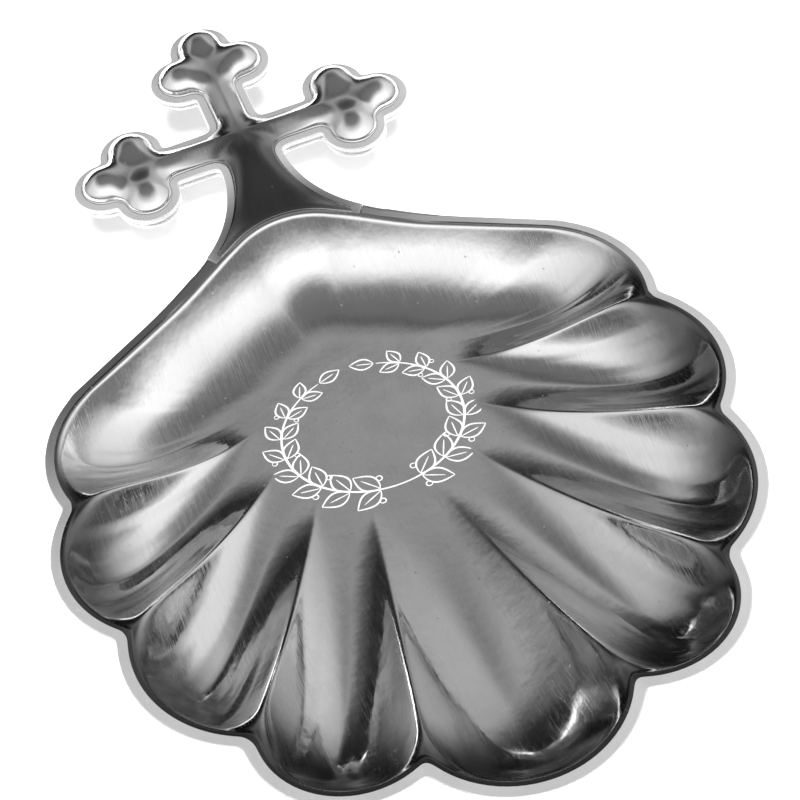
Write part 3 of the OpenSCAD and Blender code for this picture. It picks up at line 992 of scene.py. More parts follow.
@dataclass
class NeckFlare:
    """The curve from the handle's neck into the bowl's shoulder. Sizes in mm."""

    plane: HandlePlane
    crossing_dist: float = 17.3
    arm_w: float = 7.4
    neck_w: float = 9.5
    neck_straight: float = 0.2
    foot_half: float = 11.0
    tip_len: float = 0.5
    search_step: float = 0.02
    seam: float = 0.03

    def __post_init__(self) -> None:
        """Fits the flare's circle to the neck and to the shoulder's outer edge."""
        plan, plane = self.plane.plan, self.plane
        self.crossing_v = plane.to_v(plan.arch_top) + self.crossing_dist
        self.v = self.crossing_v - self.arm_w / 2 - self.neck_straight
        half = self.neck_w / 2
        y = plane.hinge_y + self.v * plane.cos
        self.r = (plan.out[0] * half + plan.out[1] * y - plan.shoulder_dist - plan.rim_w) / (1 - plan.out[0])
        self.centre = np.array([half + self.r, y])
        self.start_angle = angle_of(self.centre - self.r * plan.out)
        tip_x = self.tip_x()
        tip = np.array([tip_x, float(plan.shoulder_y(np.array(tip_x), plan.lap.foot_show))])
        self.tip_angle = angle_of(tip + np.array([self.seam, 0.0]))
        far = self.ray_reach(np.array([angle_of(tip)]), self.centre[1], 0.0)[0]
        self.end_x = tip_x * far / float(np.linalg.norm(tip))

    def foot_v(self, x: Array) -> Array:
        """Gives the place of the foot's edge beside the bowl's bare strip.

        Args:
            x: Places across the handle, from its middle.

        Returns:
            Places along the handle.
        """
        plan, grow = self.plane.plan, self.plane.plan.lap.foot_show
        arch = plan.arch_r + grow
        on_arch = plan.arch_y + np.sqrt(np.maximum(arch**2 - x**2, 0.0))
        y = np.where(x < arch * plan.out[0], on_arch, plan.shoulder_y(x, grow))
        return self.plane.to_v(y)

    def tip_x(self) -> float:
        """Finds the widest place where the foot's tip is still blunt.

        Returns:
            Half the width of the foot.
        """
        x = np.arange(self.neck_w / 2, self.foot_half, self.search_step)
        reach = self.neck_w / 2 + self.r - x
        edge = self.v - np.sqrt(np.maximum(self.r**2 - reach**2, 0.0))
        wide = x[edge - self.foot_v(x) >= self.tip_len]
        return float(wide.max())

    def ray_reach(self, turn: Array, end_y: float, inset: float) -> Array:
        """Gives the distance along rays to the flare's edge or to the tab's end.

        Args:
            turn: Angles of the rays in degrees, without sign.
            end_y: Place of the tab's end.
            inset: How far the edge lies inside the flare.

        Returns:
            Distances from the origin.
        """
        ray = polar(turn, np.ones_like(turn))
        along = ray @ self.centre
        left = (self.r + inset) ** 2 - self.centre @ self.centre + along * along
        end = end_y / np.maximum(ray[:, 1], 1e-6)
        return np.where(left < 0, end, np.minimum(end, along - np.sqrt(np.maximum(left, 0.0))))


@dataclass
class CrossHandle:
    """The hollow budded cross: struck front, flat back and the solder between them. Sizes in mm."""

    flare: NeckFlare
    finish: SilverFinish
    flange_finish: SilverFinish
    back_finish: SilverFinish
    solder_finish: SilverFinish
    arm_len: float = 16.0
    bud_d: float = 9.4
    side_bud: float = 4.7
    end_bud: float = 5.3
    end_bud_turn: float = 88.0
    side_bud_turn: float = 10.0
    flange_w: float = 1.3
    polish_reach: float = 0.15
    arm_h: float = 2.05
    valley_h: float = 1.9
    bud_h: float = 0.9
    bud_spread: float = 2.1
    roof: float = 0.7
    upright_roof: float = 0.15
    roof_start: float = 7.0
    roof_fade: float = 7.0
    neck_fade: float = 8.0
    valley_round: float = 1.2
    side_reach: float = 2.9
    foot_h: float = 0.25
    foot_reach: float = 0.5
    dome_reach: float = 3.0
    fillet: float = 0.3
    fillet_share: float = 0.35
    fillet_start: float = 0.4
    ridge_round: float = 0.15
    edge_round: float = 0.22
    corner_round: float = 0.45
    crossing_round: float = 0.9
    crossing_zone: float = 10.0
    crossing_fade: float = 3.0
    tip_zone: float = 2.5
    tip_fade: float = 1.5
    low_zone: float = 4.0
    low_fade: float = 3.0
    root_gap: float = 0.12
    vent_d: float = 1.5
    vent_round: float = 0.12
    vent_clear: float = 0.2
    back_gap: float = 0.075
    solder_gap: float = 0.1
    seam_inset: float = 0.16
    lap_inset: float = 0.5
    solder_reach: float = 1.6
    grid: float = 0.34
    edge_step: float = 0.18
    cut_step: float = 0.3
    band_steps: tuple[float, float] = (0.4, 0.6)
    clear_share: float = 0.97
    band_clear: float = 0.98
    bud_points: int = 60
    neck_points: int = 80
    foot_points: int = 161
    vent_points: int = 48
    front_rings: tuple[float, ...] = (0.05, 0.11, 0.2, 0.9, 1.15, 1.3, 1.4, 1.55, 1.75)
    back_rings: tuple[float, ...] = (0.06, 0.13, 0.24)

    def __post_init__(self) -> None:
        """Draws the outline that all pieces of the handle share."""
        self.plane = self.flare.plane
        self.lap = self.plane.plan.lap
        self.half_arm = self.flare.arm_w / 2
        self.half_neck = self.flare.neck_w / 2
        self.bud_r = self.bud_d / 2
        self.crossing = np.array([0.0, self.flare.crossing_v])
        self.tab_v = float(self.plane.to_v(np.array(self.plane.plan.arch_top + self.lap.tab_reach)))
        self.free_edge, self.root_edge = self._edges()
        self.loop = np.vstack([self.free_edge, self.root_edge[1:-1]])

    def _bud(self, centre: tuple[float, float], start: float, end: float) -> Array:
        """Gives the points of a bud's arc in an arm's own frame."""
        turn = np.radians(np.linspace(start, end, self.bud_points))
        return np.array(centre) + self.bud_r * np.stack([np.cos(turn), np.sin(turn)], axis=1)

    def _half_arm(self, corner: float) -> Array:
        """Draws one side of an arm in its own frame, from its corner to the end bud's middle.

        Args:
            corner: Distance from the crossing to the corner.

        Returns:
            Points of the side.
        """
        side = [[corner, self.half_arm], [self.arm_len - self.bud_r, self.half_arm]]
        low = self._bud((self.arm_len, self.side_bud), 180 + self.side_bud_turn, self.side_bud_turn)
        valley = [[self.arm_len + self.side_bud, self.side_bud]]
        end = self._bud((self.arm_len + self.end_bud, 0.0), self.end_bud_turn, 0.0)
        return np.vstack([side, low, valley, end])

    def _arm(self, corner_in: float, corner_out: float, along: tuple[float, float]) -> Array:
        """Draws an arm's outline in the handle's plane.

        Args:
            corner_in: Distance from the crossing to the arm's first corner.
            corner_out: Distance from the crossing to its last corner.
            along: Direction that the arm points in.

        Returns:
            Points of the outline.
        """
        first = self._half_arm(corner_in)
        second = self._half_arm(corner_out)[::-1] * (1.0, -1.0)
        local = np.vstack([first, second[1:]])
        ahead = np.array(along)
        beside = np.array([-ahead[1], ahead[0]])
        return self.crossing + local[:, :1] * ahead + local[:, 1:] * beside

    def _edges(self) -> tuple[Array, Array]:
        """Gives the handle's free edge and the edge of its foot against the bowl.

        Returns:
            The free edge from the left tip over the cross to the right tip,
            and the foot's edge back to the left.
        """
        r, half = self.flare.r, self.half_neck
        tip_x = self.flare.tip_x()
        turn = np.arccos((half + r - self.flare.end_x) / r) * np.linspace(0.0, 1.0, self.neck_points)
        neck = np.stack([half + r - r * np.cos(turn), self.flare.v - r * np.sin(turn)], axis=1)
        left_neck = neck[::-1] * (-1.0, 1.0)
        cross = np.vstack([
            self._arm(self.half_neck, self.half_arm, (-1.0, 0.0)),
            self._arm(self.half_arm, self.half_arm, (0.0, 1.0))[1:-1],
            self._arm(self.half_arm, self.half_neck, (1.0, 0.0)),
        ])
        free = np.vstack([left_neck, cross, neck])
        x = np.linspace(tip_x, -tip_x, self.foot_points)
        root = np.stack([x, self.flare.foot_v(np.abs(x))], axis=1)
        whole = evenly_spaced(np.vstack([free, root[1:-1]]), self.edge_step)
        near = np.linalg.norm(whole - self.crossing, axis=1)
        soft = rounded_loop(whole, self.corner_round / self.edge_step)
        softer = rounded_loop(whole, self.crossing_round / self.edge_step)
        blend = ease((self.crossing_zone - near) / self.crossing_fade)[:, None]
        keep = ease((np.abs(whole[:, 0]) - (tip_x - self.tip_zone)) / self.tip_fade)[:, None]
        low = ease((self.flare.v - self.low_zone - whole[:, 1]) / self.low_fade)[:, None]
        shaped = soft + (softer - soft) * blend
        shaped = shaped + (whole - shaped) * np.maximum(keep * low, 0.0)
        on_free = distance_to_path(shaped, root, False) > self.root_gap
        first = int(np.argmax(on_free & ~np.roll(on_free, 1)))
        ordered = np.roll(shaped, -first, axis=0)
        count = int(on_free.sum())
        return ordered[:count], np.vstack([ordered[count - 1 :], ordered[:1]])

    def buds(self) -> Array:
        """Places the nine buds in the handle's plane.

        Returns:
            The middles of the buds.
        """
        spots = []
        for ahead in ((-1.0, 0.0), (0.0, 1.0), (1.0, 0.0)):
            forward = np.array(ahead)
            beside = np.array([-forward[1], forward[0]])
            spots.append(self.crossing + (self.arm_len + self.end_bud) * forward)
            for side in (-1.0, 1.0):
                spots.append(self.crossing + self.arm_len * forward + side * self.side_bud * beside)
        return np.array(spots)

    def height(self, flat: Array) -> Array:
        """Gives the height of the front above the flange's plane.

        Args:
            flat: Points of the handle's plane inside its outline.

        Returns:
            Heights in millimetres.
        """
        from_edge = distance_to_path(flat, self.free_edge, False)
        from_root = distance_to_path(flat, self.root_edge, False)
        in_dome = np.minimum(from_edge - self.flange_w, self.dome_reach)
        foot = quarter_round(from_root / self.foot_reach)
        x, v = flat[:, 0], flat[:, 1] - self.crossing[1]
        tops = np.zeros(len(flat))
        for bud in self.buds():
            off = ((flat - bud) ** 2).sum(1)
            tops += np.exp(-off / (2 * self.bud_spread**2)) ** 3
        tops = self.bud_h * np.cbrt(tops)
        down = ease(-v / self.flare.crossing_dist)
        out = ease((np.maximum(np.abs(x), v) - self.roof_start) / self.roof_fade)
        base = self.arm_h + (self.valley_h - self.arm_h) * out + (self.foot_h - self.arm_h) * down + tops
        on_bar = ease((np.abs(x) - np.abs(v)) / self.half_arm)
        roof = self.upright_roof + (self.roof - self.upright_roof) * on_bar
        roof = roof * (1.0 - out) * (1.0 - ease(-v / self.neck_fade))
        half = np.maximum(soft_min(np.abs(x), np.abs(v), self.valley_round), 0.0)
        ridge = 1.0 - np.hypot(half, self.ridge_round) / (self.half_arm - self.flange_w)
        side = quarter_round(in_dome / self.side_reach)
        side = side + roof * (np.clip(ridge, 0.0, 1.0) - side)
        dome = base * side * foot
        edge = self.edge_round * (quarter_round(from_edge / self.edge_round) - 1.0)
        crease = self.fillet * np.exp(-((in_dome / self.fillet) ** 2)) * self.fillet_share * foot
        return np.maximum(dome, 0.0) + crease * (from_edge > self.fillet_start) + edge

    def build_front(self) -> bpy.types.Object:
        """Makes the struck front as a thin closed shell.

        Returns:
            The piece.
        """
        flat, tris, rim = self._sheet(self.loop, [], self.front_rings, self.free_edge)
        high = self.height(flat)
        low = np.maximum(high, 0.0) - self.lap.front_t
        low[rim] = self.edge_round / 2 - self.lap.front_t
        piece = self._shell("cross_front", flat, tris, rim, high, low, self.finish, "cross_front")
        piece.data.materials.append(self.flange_finish.material())
        from_edge = distance_to_path(flat, self.free_edge, False)
        for face in piece.data.polygons:
            middle = np.mean([from_edge[k % len(flat)] for k in face.vertices])
            face.material_index = int(middle < self.flange_w - self.polish_reach)
        return piece

    def build_back(self) -> bpy.types.Object:
        """Makes the flat back plate with its vent hole.

        Returns:
            The piece.
        """
        top = -self.lap.front_t - self.lap.solder_t
        loop = self._above(self.tab_v + self.back_gap)
        turn = np.linspace(0.0, 2 * np.pi, self.vent_points, endpoint=False)
        vent = self.crossing + self.vent_d / 2 * np.stack([np.cos(turn), np.sin(turn)], axis=1)
        flat, tris, rim = self._sheet(loop, [vent], self.back_rings)
        from_edge = distance_to_path(flat, loop, True)
        soft = self.edge_round * (1.0 - quarter_round(from_edge / self.edge_round))
        hole = distance_to_path(flat, vent, True)
        soft = np.maximum(soft, self.vent_round * (1.0 - quarter_round(hole / self.vent_round)))
        high, low = top - soft, top - self.lap.back_t + soft
        return self._shell("cross_back", flat, tris, rim, high, low, self.back_finish, "cross_back")

    def build_solder(self) -> list[bpy.types.Object]:
        """Makes the solder film in the cross's seam and the one in the lap over the bowl's tab.

        Returns:
            The two pieces.
        """
        top = -self.lap.front_t
        seam = self._band(self._above(self.tab_v + self.solder_gap), self.seam_inset, self.solder_reach)
        lap = self._band(self._below(self.tab_v - self.solder_gap), self.lap_inset, self.solder_reach)
        return [
            self._film("seam_solder", seam, top, "cross_seam_solder"),
            self._film("lap_solder", lap, top, "root_lap_solder"),
        ]

    def _above(self, v: float) -> Array:
        """Gives the outline's part beyond a place along the handle, as a closed loop."""
        return self._clipped(v, 1.0)

    def _below(self, v: float) -> Array:
        """Gives the outline's part before a place along the handle, as a closed loop."""
        return self._clipped(v, -1.0)

    def _clipped(self, v: float, side: float) -> Array:
        """Cuts the outline with a line across the handle and keeps one side.

        Args:
            v: Place of the line along the handle.
            side: 1 to keep what lies beyond, -1 to keep what lies before.

        Returns:
            The kept part as a closed loop.
        """
        kept = []
        after = np.roll(self.loop, -1, axis=0)
        for p, q in zip(self.loop, after):
            here, there = side * (p[1] - v), side * (q[1] - v)
            if here >= 0:
                kept.append(p)
            if here * there < 0:
                kept.append(p + (q - p) * here / (here - there))
        return evenly_spaced(np.array(kept), self.cut_step)

    @staticmethod
    def _inset(loop: Array, depth: float) -> Array:
        """Moves a loop inwards along its normals.

        Args:
            loop: Points of the loop.
            depth: How far to move it.

        Returns:
            The moved points.
        """
        ahead = np.roll(loop, -1, axis=0) - np.roll(loop, 1, axis=0)
        ahead /= np.maximum(np.linalg.norm(ahead, axis=1, keepdims=True), 1e-9)
        normal = np.stack([-ahead[:, 1], ahead[:, 0]], axis=1)
        area = np.cross(loop, np.roll(loop, -1, axis=0)).sum()
        return loop + normal * depth * np.sign(area)

    def _band(self, loop: Array, start: float, end: float) -> tuple[Array, list, Array]:
        """Triangulates the strip between two insets of a loop.

        Args:
            loop: Points of the loop.
            start: Depth of the strip's outer edge.
            end: Depth of its inner edge.

        Returns:
            The points, the triangles, and the pairs of points along the edges.
        """
        outer = evenly_spaced(self._inset(loop, start), self.band_steps[0])
        inner = evenly_spaced(self._inset(loop, end), self.band_steps[1])
        keep = distance_to_path(inner, loop, True) > end * self.band_clear
        return self._triangles(outer, [inner[keep]], np.empty((0, 2)))

    def _film(self, name: str, band: tuple[Array, list, Array], top: float, node: str) -> bpy.types.Object:
        """Gives a strip the thickness of the solder.

        Args:
            name: Name of the piece.
            band: Points, triangles and edges of the strip.
            top: Height of its upper face.
            node: The solid that the piece replaces.

        Returns:
            The piece.
        """
        flat, tris, rim = band
        high = np.full(len(flat), top)
        return self._shell(name, flat, tris, rim, high, high - self.lap.solder_t, self.solder_finish, node)

    def _sheet(self, loop: Array, holes: list[Array], inset_rings: Sequence[float],
               edge: Array | None = None) -> tuple[Array, list, Array]:
        """Triangulates the inside of a loop, finely near its edge and evenly elsewhere.

        Args:
            loop: The outline.
            holes: Outlines of holes.
            inset_rings: Depths of the rings of points along the edge.
            edge: The part of the outline that the rings keep their depth from, if not all of it.

        Returns:
            The points, the triangles, and the pairs of points along the edges.
        """
        low, high = loop.min(0), loop.max(0)
        x = np.arange(low[0], high[0], self.grid)
        v = np.arange(low[1], high[1], self.grid * np.sqrt(3) / 2)
        mesh_x, mesh_v = np.meshgrid(x, v)
        mesh_x = mesh_x + (np.arange(len(v)) % 2)[:, None] * self.grid / 2
        spots = np.stack([mesh_x.ravel(), mesh_v.ravel()], axis=1)
        spots = spots[inside_loop(spots, loop)]
        gap = distance_to_path(spots, loop, True)
        inner = [spots[gap > max(inset_rings) + self.grid / 2]]
        for depth in inset_rings:
            ring = self._inset(loop, depth)
            clear = min(depth, self.grid / 2) if edge is not None else depth
            kept = inside_loop(ring, loop) & (distance_to_path(ring, loop, True) > clear * self.clear_share)
            if edge is not None:
                kept &= distance_to_path(ring, edge, False) > depth * self.clear_share
            inner.append(ring[kept])
        inside = np.vstack(inner)
        for hole in holes:
            clear = distance_to_path(inside, hole, True) > self.vent_clear
            inside = inside[~inside_loop(inside, hole) & clear]
        return self._triangles(loop, holes, inside)

    @staticmethod
    def _triangles(loop: Array, holes: list[Array], inside: Array) -> tuple[Array, list, Array]:
        """Triangulates a loop with holes and extra points.

        Args:
            loop: The outline.
            holes: Outlines of holes.
            inside: Points between them.

        Returns:
            The points, the triangles, and the pairs of points along the edges.
        """
        edges, start = [], 0
        for ring in [loop, *holes]:
            count = len(ring)
            edges += [(start + k, start + (k + 1) % count) for k in range(count)]
            start += count
        points = [Vector(tuple(p)) for p in np.vstack([loop, *holes, inside])]
        inside_only, merge_reach = 1, 1e-5
        verts, _, tris, *_ = delaunay_2d_cdt(points, edges, [], inside_only, merge_reach)
        flat = np.array([tuple(p) for p in verts])
        faces = []
        for tri in tris:
            a, b, c = (flat[k] for k in tri[:3])
            middle = (a + b + c) / 3
            if any(inside_loop(middle[None, :], hole)[0] for hole in holes):
                continue
            turns = (b[0] - a[0]) * (c[1] - a[1]) - (b[1] - a[1]) * (c[0] - a[0])
            faces.append(tuple(tri) if turns > 0 else tuple(reversed(tri)))
        used = dict.fromkeys((tri[k], tri[(k + 1) % 3]) for tri in faces for k in range(3))
        border = np.array([pair for pair in used if pair[::-1] not in used])
        return flat, faces, border

    def _shell(self, name: str, flat: Array, tris: list, border: Array, high: Array, low: Array,
               finish: SilverFinish, node: str) -> bpy.types.Object:
        """Makes a closed piece from a triangulated plan and the heights of its two faces.

        Args:
            name: Name of the piece.
            flat: Points of the plan.
            tris: Its triangles.
            border: Pairs of points along its edges.
            high: Heights of the upper face.
            low: Heights of the lower face.
            finish: The finish it wears.
            node: The solid that the piece replaces.

        Returns:
            The piece.
        """
        count = len(flat)
        points = np.vstack([self.plane.lift(flat, high), self.plane.lift(flat, low)])
        faces = [*tris, *[tuple(count + k for k in reversed(tri)) for tri in tris]]
        faces += [(int(b), int(a), int(a) + count, int(b) + count) for a, b in border]
        return make_piece(name, points, faces, finish.material(), node)


@dataclass
class EngravedWreath:
    """A plain engraved wreath of two leafy sprays around an empty middle. Sizes in mm and degrees."""

    finish: CutFinish
    floor_z: float
    centre: tuple[float, float] = (0.5, -12.2)
    half_w: float = 12.6
    half_l: float = 11.6
    stem_start: float = -14.0
    stem_end: float = 160.0
    stem_points: int = 90
    small_turn: float = 2.0
    leaves: int = 9
    first_leaf: float = 12.0
    leaf_span: float = 150.0
    leaf_taper: float = 0.35
    leaf_lean: float = 38.0
    leaf_gap: float = 0.35
    leaf_len: float = 4.3
    leaf_w: float = 1.25
    leaf_belly: float = 0.85
    leaf_points: int = 18
    rib_points: int = 13
    tip_size: float = 0.8
    berry_r: float = 0.42
    berry_dist: float = 2.0
    berry_lean: float = 2.2
    berry_points: int = 17
    cut_w: float = 0.34
    leaf_cut: float = 0.8
    fine_w: float = 0.18
    thin_end: float = 0.35
    swell_shape: float = 0.6
    bed: float = 0.003
    lift: float = 0.012

    def build(self) -> bpy.types.Object:
        """Draws both sprays as thin cut lines.

        Returns:
            The piece.
        """
        points: list[list[float]] = []
        faces: list[tuple[int, ...]] = []
        for side in (-1.0, 1.0):
            for line, width in self._spray():
                shifted = line * (side, 1.0) + np.array(self.centre)
                self._cut(shifted, width, points, faces)
        return make_piece("engraved_wreath", np.array(points), faces, self.finish.material())

    def _stem(self, turn: Array) -> Array:
        """Gives points of the right spray's stem, from below the middle up to the top."""
        angle = np.radians(turn)
        return np.stack([self.half_w * np.sin(angle), -self.half_l * np.cos(angle)], axis=-1)

    def _spray(self) -> list[tuple[Array, float]]:
        """Draws the right spray: stem, leaves with midribs, and berries.

        Returns:
            The lines with their widths.
        """
        lines = [(self._stem(np.linspace(self.stem_start, self.stem_end, self.stem_points)), self.cut_w)]
        for index in range(self.leaves):
            turn = self.first_leaf + self.leaf_span * index / (self.leaves - 1)
            foot, ahead = self._stem(np.array(turn)), self._stem(np.array(turn + self.small_turn))
            along = (ahead - foot) / np.linalg.norm(ahead - foot)
            size = 1.0 - self.leaf_taper * index / (self.leaves - 1)
            for lean in (self.leaf_lean, -self.leaf_lean):
                if index < self.leaves - 1:
                    lines += self._leaf(foot, along, lean, size)
                    if index % 2 == 0:
                        lines.append(self._berry(foot, along, lean, size))
        tip = self._stem(np.array(self.stem_end))
        end = tip - self._stem(np.array(self.stem_end - self.small_turn))
        lines += self._leaf(tip, end / np.linalg.norm(end), 0.0, self.tip_size)
        return lines

    @staticmethod
    def _turned(along: Array, degrees: float) -> tuple[Array, Array]:
        """Turns a direction.

        Args:
            along: The direction.
            degrees: Turn to the left.

        Returns:
            The turned direction, and the direction to its left.
        """
        c, s = np.cos(np.radians(degrees)), np.sin(np.radians(degrees))
        ahead = np.array([c * along[0] - s * along[1], s * along[0] + c * along[1]])
        return ahead, np.array([-ahead[1], ahead[0]])

    def _leaf(self, foot: Array, along: Array, lean: float, size: float) -> list[tuple[Array, float]]:
        """Draws a pointed leaf.

        Args:
            foot: Place on the stem.
            along: Direction of the stem there.
            lean: Turn away from the stem in degrees.
            size: Share of the full size.

        Returns:
            Its two curved sides and its midrib, with their widths.
        """
        ahead, beside = self._turned(along, lean)
        share = np.linspace(0.0, 1.0, self.leaf_points)
        belly = np.sin(np.pi * share**self.leaf_belly)
        length, width = self.leaf_len * size, self.leaf_w * size
        spine = foot + self.leaf_gap * ahead + share[:, None] * length * ahead
        bulge = belly[:, None] * width * beside
        sides = [(spine + sign * bulge, self.cut_w * self.leaf_cut) for sign in (-1.0, 1.0)]
        return [*sides, (spine[: self.rib_points], self.fine_w)]

    def _berry(self, foot: Array, along: Array, lean: float, size: float) -> tuple[Array, float]:
        """Draws a small round berry between two leaves.

        Args:
            foot: Place on the stem.
            along: Direction of the stem there.
            lean: Turn away from the stem in degrees.
            size: Share of the full size.

        Returns:
            Its line and the line's width.
        """
        ahead, _ = self._turned(along, lean * self.berry_lean)
        middle = foot + ahead * self.berry_dist * size
        turn = np.linspace(0.0, 2 * np.pi, self.berry_points)
        return middle + self.berry_r * size * np.stack([np.cos(turn), np.sin(turn)], axis=1), self.fine_w

    def _cut(self, line: Array, width: float, points: list, faces: list) -> None:
        """Adds one line as a thin raised strip that swells in its middle.

        Args:
            line: Points of the line.
            width: Greatest width of the strip.
            points: Points so far, which grow.
            faces: Faces so far, which grow.
        """
        ahead = np.gradient(line, axis=0)
        ahead /= np.maximum(np.linalg.norm(ahead, axis=1, keepdims=True), 1e-9)
        beside = np.stack([-ahead[:, 1], ahead[:, 0]], axis=1)
        share = np.linspace(0.0, 1.0, len(line))
        swell = self.thin_end + (1.0 - self.thin_end) * np.sin(np.pi * share) ** self.swell_shape
        swell = swell[:, None] * width / 2
        base = len(points)
        for offset, high in ((-swell, 0.0), (0.0 * swell, self.lift), (swell, 0.0)):
            spots = line + offset * beside
            points.extend([x, y, self.floor_z + self.bed + high] for x, y in spots)
        count = len(line)
        for strip in range(2):
            for k in range(count - 1):
                a = base + strip * count + k
                faces.append((a, a + 1, a + count + 1, a + count))


# Studio


@dataclass
class Studio:
    """Pale floor, soft light and the camera. Sizes in mm and degrees."""

    eye: tuple[float, float, float] = (-30.81, -186.94, 186.84)
    ahead: tuple[float, float, float] = (0.13965, 0.68354, -0.71643)
    roll: float = -11.87
    lens: float = 85.7
    floor_size: float = 6000.0
    floor_tint: float = 0.9
    floor_rough: float = 0.9
    floor_gloss: float = 0.1
    floor_glow: float = 0.32
    dark_side: tuple[float, float, float] = (-0.08, 1.0, 0.0)
    room_tones: tuple[tuple[float, float], ...] = (
        (0.0, 1.3), (0.2, 1.1), (0.35, 0.9), (0.5, 0.78), (0.64, 0.7), (0.72, 0.5),
        (0.78, 0.42), (0.84, 0.34), (0.88, 0.1), (0.93, 0.02),
    )
    shade_up: tuple[float, float, float] = (0.0, 0.25, 1.0)
    shade_range: tuple[float, float] = (0.05, 0.3)
    shade_tone: float = 0.15
    ceiling_range: tuple[float, float] = (0.65, 0.92)
    ceiling_tone: float = 0.2
    strip_foot: tuple[float, float] = (0.03, 0.06)
    strip_head: tuple[float, float] = (0.1, 0.14)
    strip_turn: tuple[float, float] = (0.8, 0.95)
    strip_level: float = 5.0
    lamp_at: tuple[float, float, float] = (-40.0, -450.0, 600.0)
    lamp_power: float = 11.0
    lamp_size: float = 140.0
    near_clip: float = 10.0

    def build(self) -> None:
        """Sets up everything around the object."""
        self._floor()
        self._sky()
        self._lamps()
        self._camera()
        bpy.context.scene.view_settings.view_transform = "Standard"

    def _floor(self) -> None:
        """Lays the pale floor just under the bowl."""
        half = self.floor_size / 2 * MM
        mesh = bpy.data.meshes.new("floor")
        corners = [(-half, -half, 0), (half, -half, 0), (half, half, 0), (-half, half, 0)]
        mesh.from_pydata(corners, [], [(0, 1, 2, 3)])
        made = bpy.data.materials.new("pale_floor")
        made.use_nodes = True
        desk = NodeDesk(made.node_tree)
        shader = desk.add("ShaderNodeBsdfPrincipled", {
            "Base Color": grey(self.floor_tint), "Roughness": self.floor_rough,
            "Specular IOR Level": self.floor_gloss,
            "Emission Color": grey(1.0), "Emission Strength": self.floor_glow,
        })
        desk.add("ShaderNodeOutputMaterial", {"Surface": shader.outputs[0]})
        mesh.materials.append(made)
        floor = bpy.data.objects.new("floor", mesh)
        bpy.context.scene.collection.objects.link(floor)

    def _sky(self) -> None:
        """Makes the room: dark beyond the handle and overhead, bright at the sides and behind the camera."""
        world = bpy.data.worlds.new("studio")
        bpy.context.scene.world = world
        world.use_nodes = True
        desk = NodeDesk(world.node_tree)
        facing = desk.add("ShaderNodeTexCoord").outputs["Generated"]
        dark = Vector(self.dark_side).normalized()
        lean = desk.vector("DOT_PRODUCT", facing, dark).outputs["Value"]
        share = desk.math("MULTIPLY_ADD", lean, 0.5, 0.5)
        ramp = desk.add("ShaderNodeValToRGB", {0: share})
        elements = ramp.color_ramp.elements
        while len(elements) < len(self.room_tones):
            elements.new(0.5)
        for element, (place, level) in zip(elements, self.room_tones):
            element.position = place
            element.color = grey(level)
        height = desk.vector("DOT_PRODUCT", facing, self.shade_up).outputs["Value"]
        low, high = self.shade_range
        shade = desk.add("ShaderNodeMapRange", {0: height, 1: low, 2: high, 3: self.shade_tone, 4: 1.0})
        above = desk.add("ShaderNodeSeparateXYZ", {0: facing}).outputs[2]
        ceiling = desk.remap(above, *self.ceiling_range, 1.0, self.ceiling_tone)
        level = desk.math("MULTIPLY", shade.outputs[0], ceiling)
        tone = desk.math("MULTIPLY", ramp.outputs[0], level)
        foot = desk.remap(above, *self.strip_foot, 0.0, 1.0)
        low_strip = desk.math("MULTIPLY", foot, desk.remap(above, *self.strip_head, 1.0, 0.0))
        beyond = desk.remap(lean, *self.strip_turn, 0.0, self.strip_level)
        tone = desk.math("ADD", tone, desk.math("MULTIPLY", low_strip, beyond))
        sky = desk.add("ShaderNodeBackground", {"Color": grey(1.0), "Strength": tone})
        desk.add("ShaderNodeOutputWorld", {"Surface": sky.outputs[0]})

    def _lamps(self) -> None:
        """Hangs a soft lamp above the camera, which lights the floor and throws a narrow shadow."""
        lamp = bpy.data.lights.new("floor_lamp", "AREA")
        lamp.energy = self.lamp_power
        lamp.size = self.lamp_size * MM
        hung = bpy.data.objects.new("floor_lamp", lamp)
        hung.location = Vector(self.lamp_at) * MM
        hung.rotation_euler = (-hung.location).to_track_quat("-Z", "Y").to_euler()
        hung.visible_glossy = False
        bpy.context.scene.collection.objects.link(hung)

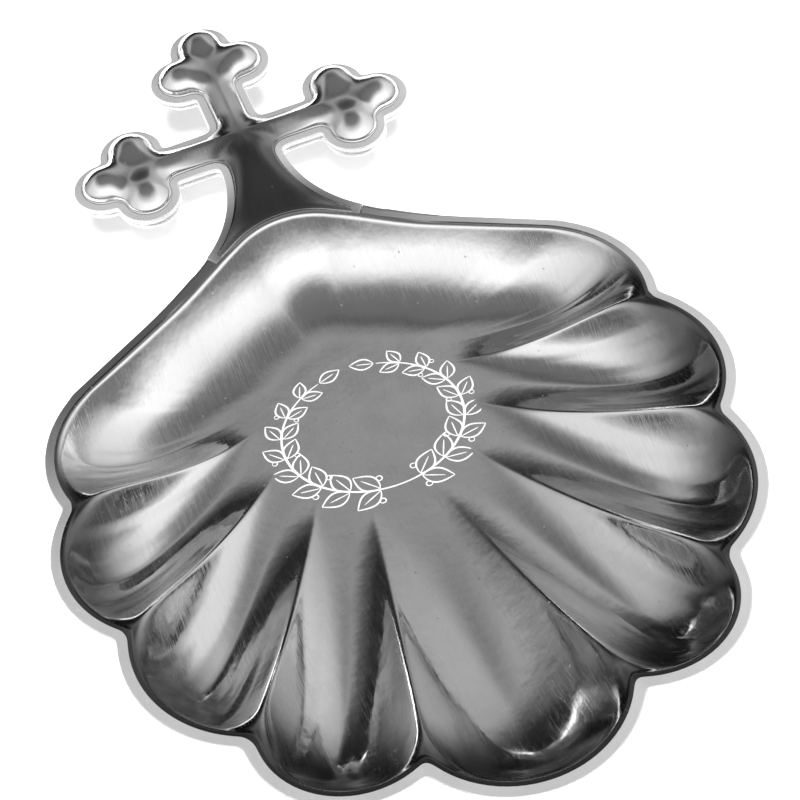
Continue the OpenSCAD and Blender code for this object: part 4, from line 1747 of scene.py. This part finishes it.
    def _camera(self) -> None:
        """Puts the camera at the photograph's viewing angle."""
        ahead = Vector(self.ahead).normalized()
        level = ahead.cross(Vector((0.0, 0.0, 1.0))).normalized()
        upright = level.cross(ahead)
        turn = np.radians(self.roll)
        right = level * np.cos(turn) + upright * np.sin(turn)
        up = right.cross(ahead)
        data = bpy.data.cameras.new("camera")
        data.lens = self.lens
        data.clip_start = self.near_clip * MM
        camera = bpy.data.objects.new("camera", data)
        turned = Matrix((right, up, -ahead)).transposed().to_4x4()
        camera.matrix_world = Matrix.Translation(Vector(self.eye) * MM) @ turned
        bpy.context.scene.collection.objects.link(camera)
        bpy.context.scene.camera = camera


def main() -> None:
    """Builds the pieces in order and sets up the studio."""
    logging.basicConfig(level=logging.INFO, format="%(name)s: %(message)s")
    # The bowl's flute ends get painted shade.
    bowl_finish = SilverFinish("bowl_silver", Slot.POLISHED, Grain.ALONG_FLUTES, flute_end_shade=0.17)
    # The rim gets painted shade round a spot over its upper left and shoulders, in place of a dark
    # reflection.
    rim_finish = SilverFinish("rim_silver", Slot.POLISHED, Grain.ALONG_FLUTES, smooth=0.3, hazy=0.42,
                              metal=0.82, painted_shade_at=(-20.0, 22.0, 11.0), painted_shade_reach=54.0, painted_shade_tint=0.2)
    # The cross's flange near the neck gets painted shade round a spot, in place of a dark reflection.
    flange_finish = SilverFinish("flange_silver", Slot.POLISHED, Grain.ALONG_HANDLE, smooth=0.25, hazy=0.4,
                                 metal=0.8, painted_shade_at=(0.0, 17.0, 11.0), painted_shade_reach=17.0, painted_shade_tint=0.15)
    # The cross's neck and crossing get painted shade round a spot, in place of a dark reflection.
    cross_finish = SilverFinish("cross_silver", Slot.POLISHED, Grain.ALONG_HANDLE, ripple=0.015,
                                painted_shade_at=(0.0, 28.5, 13.5), painted_shade_reach=16.0, painted_shade_tint=0.25)
    back_finish = SilverFinish("back_silver", Slot.SATIN, Grain.ALONG_HANDLE, tint=0.85, smooth=0.2,
                               hazy=0.34)
    solder_finish = SilverFinish("solder_grey", Slot.SOLDER, Grain.ALONG_HANDLE, tint=0.6, smooth=0.3,
                                 hazy=0.5)

    plan = RimPlan()
    bowl = ShellBowl(plan, bowl_finish, rim_finish)
    flare = NeckFlare(bowl.plane)
    bowl.build(flare)
    cross = CrossHandle(flare, cross_finish, flange_finish, back_finish, solder_finish)
    cross.build_front()
    cross.build_back()
    cross.build_solder()
    EngravedWreath(CutFinish(), bowl.sheet).build()
    Studio().build()


if __name__ == "__main__":
    main()
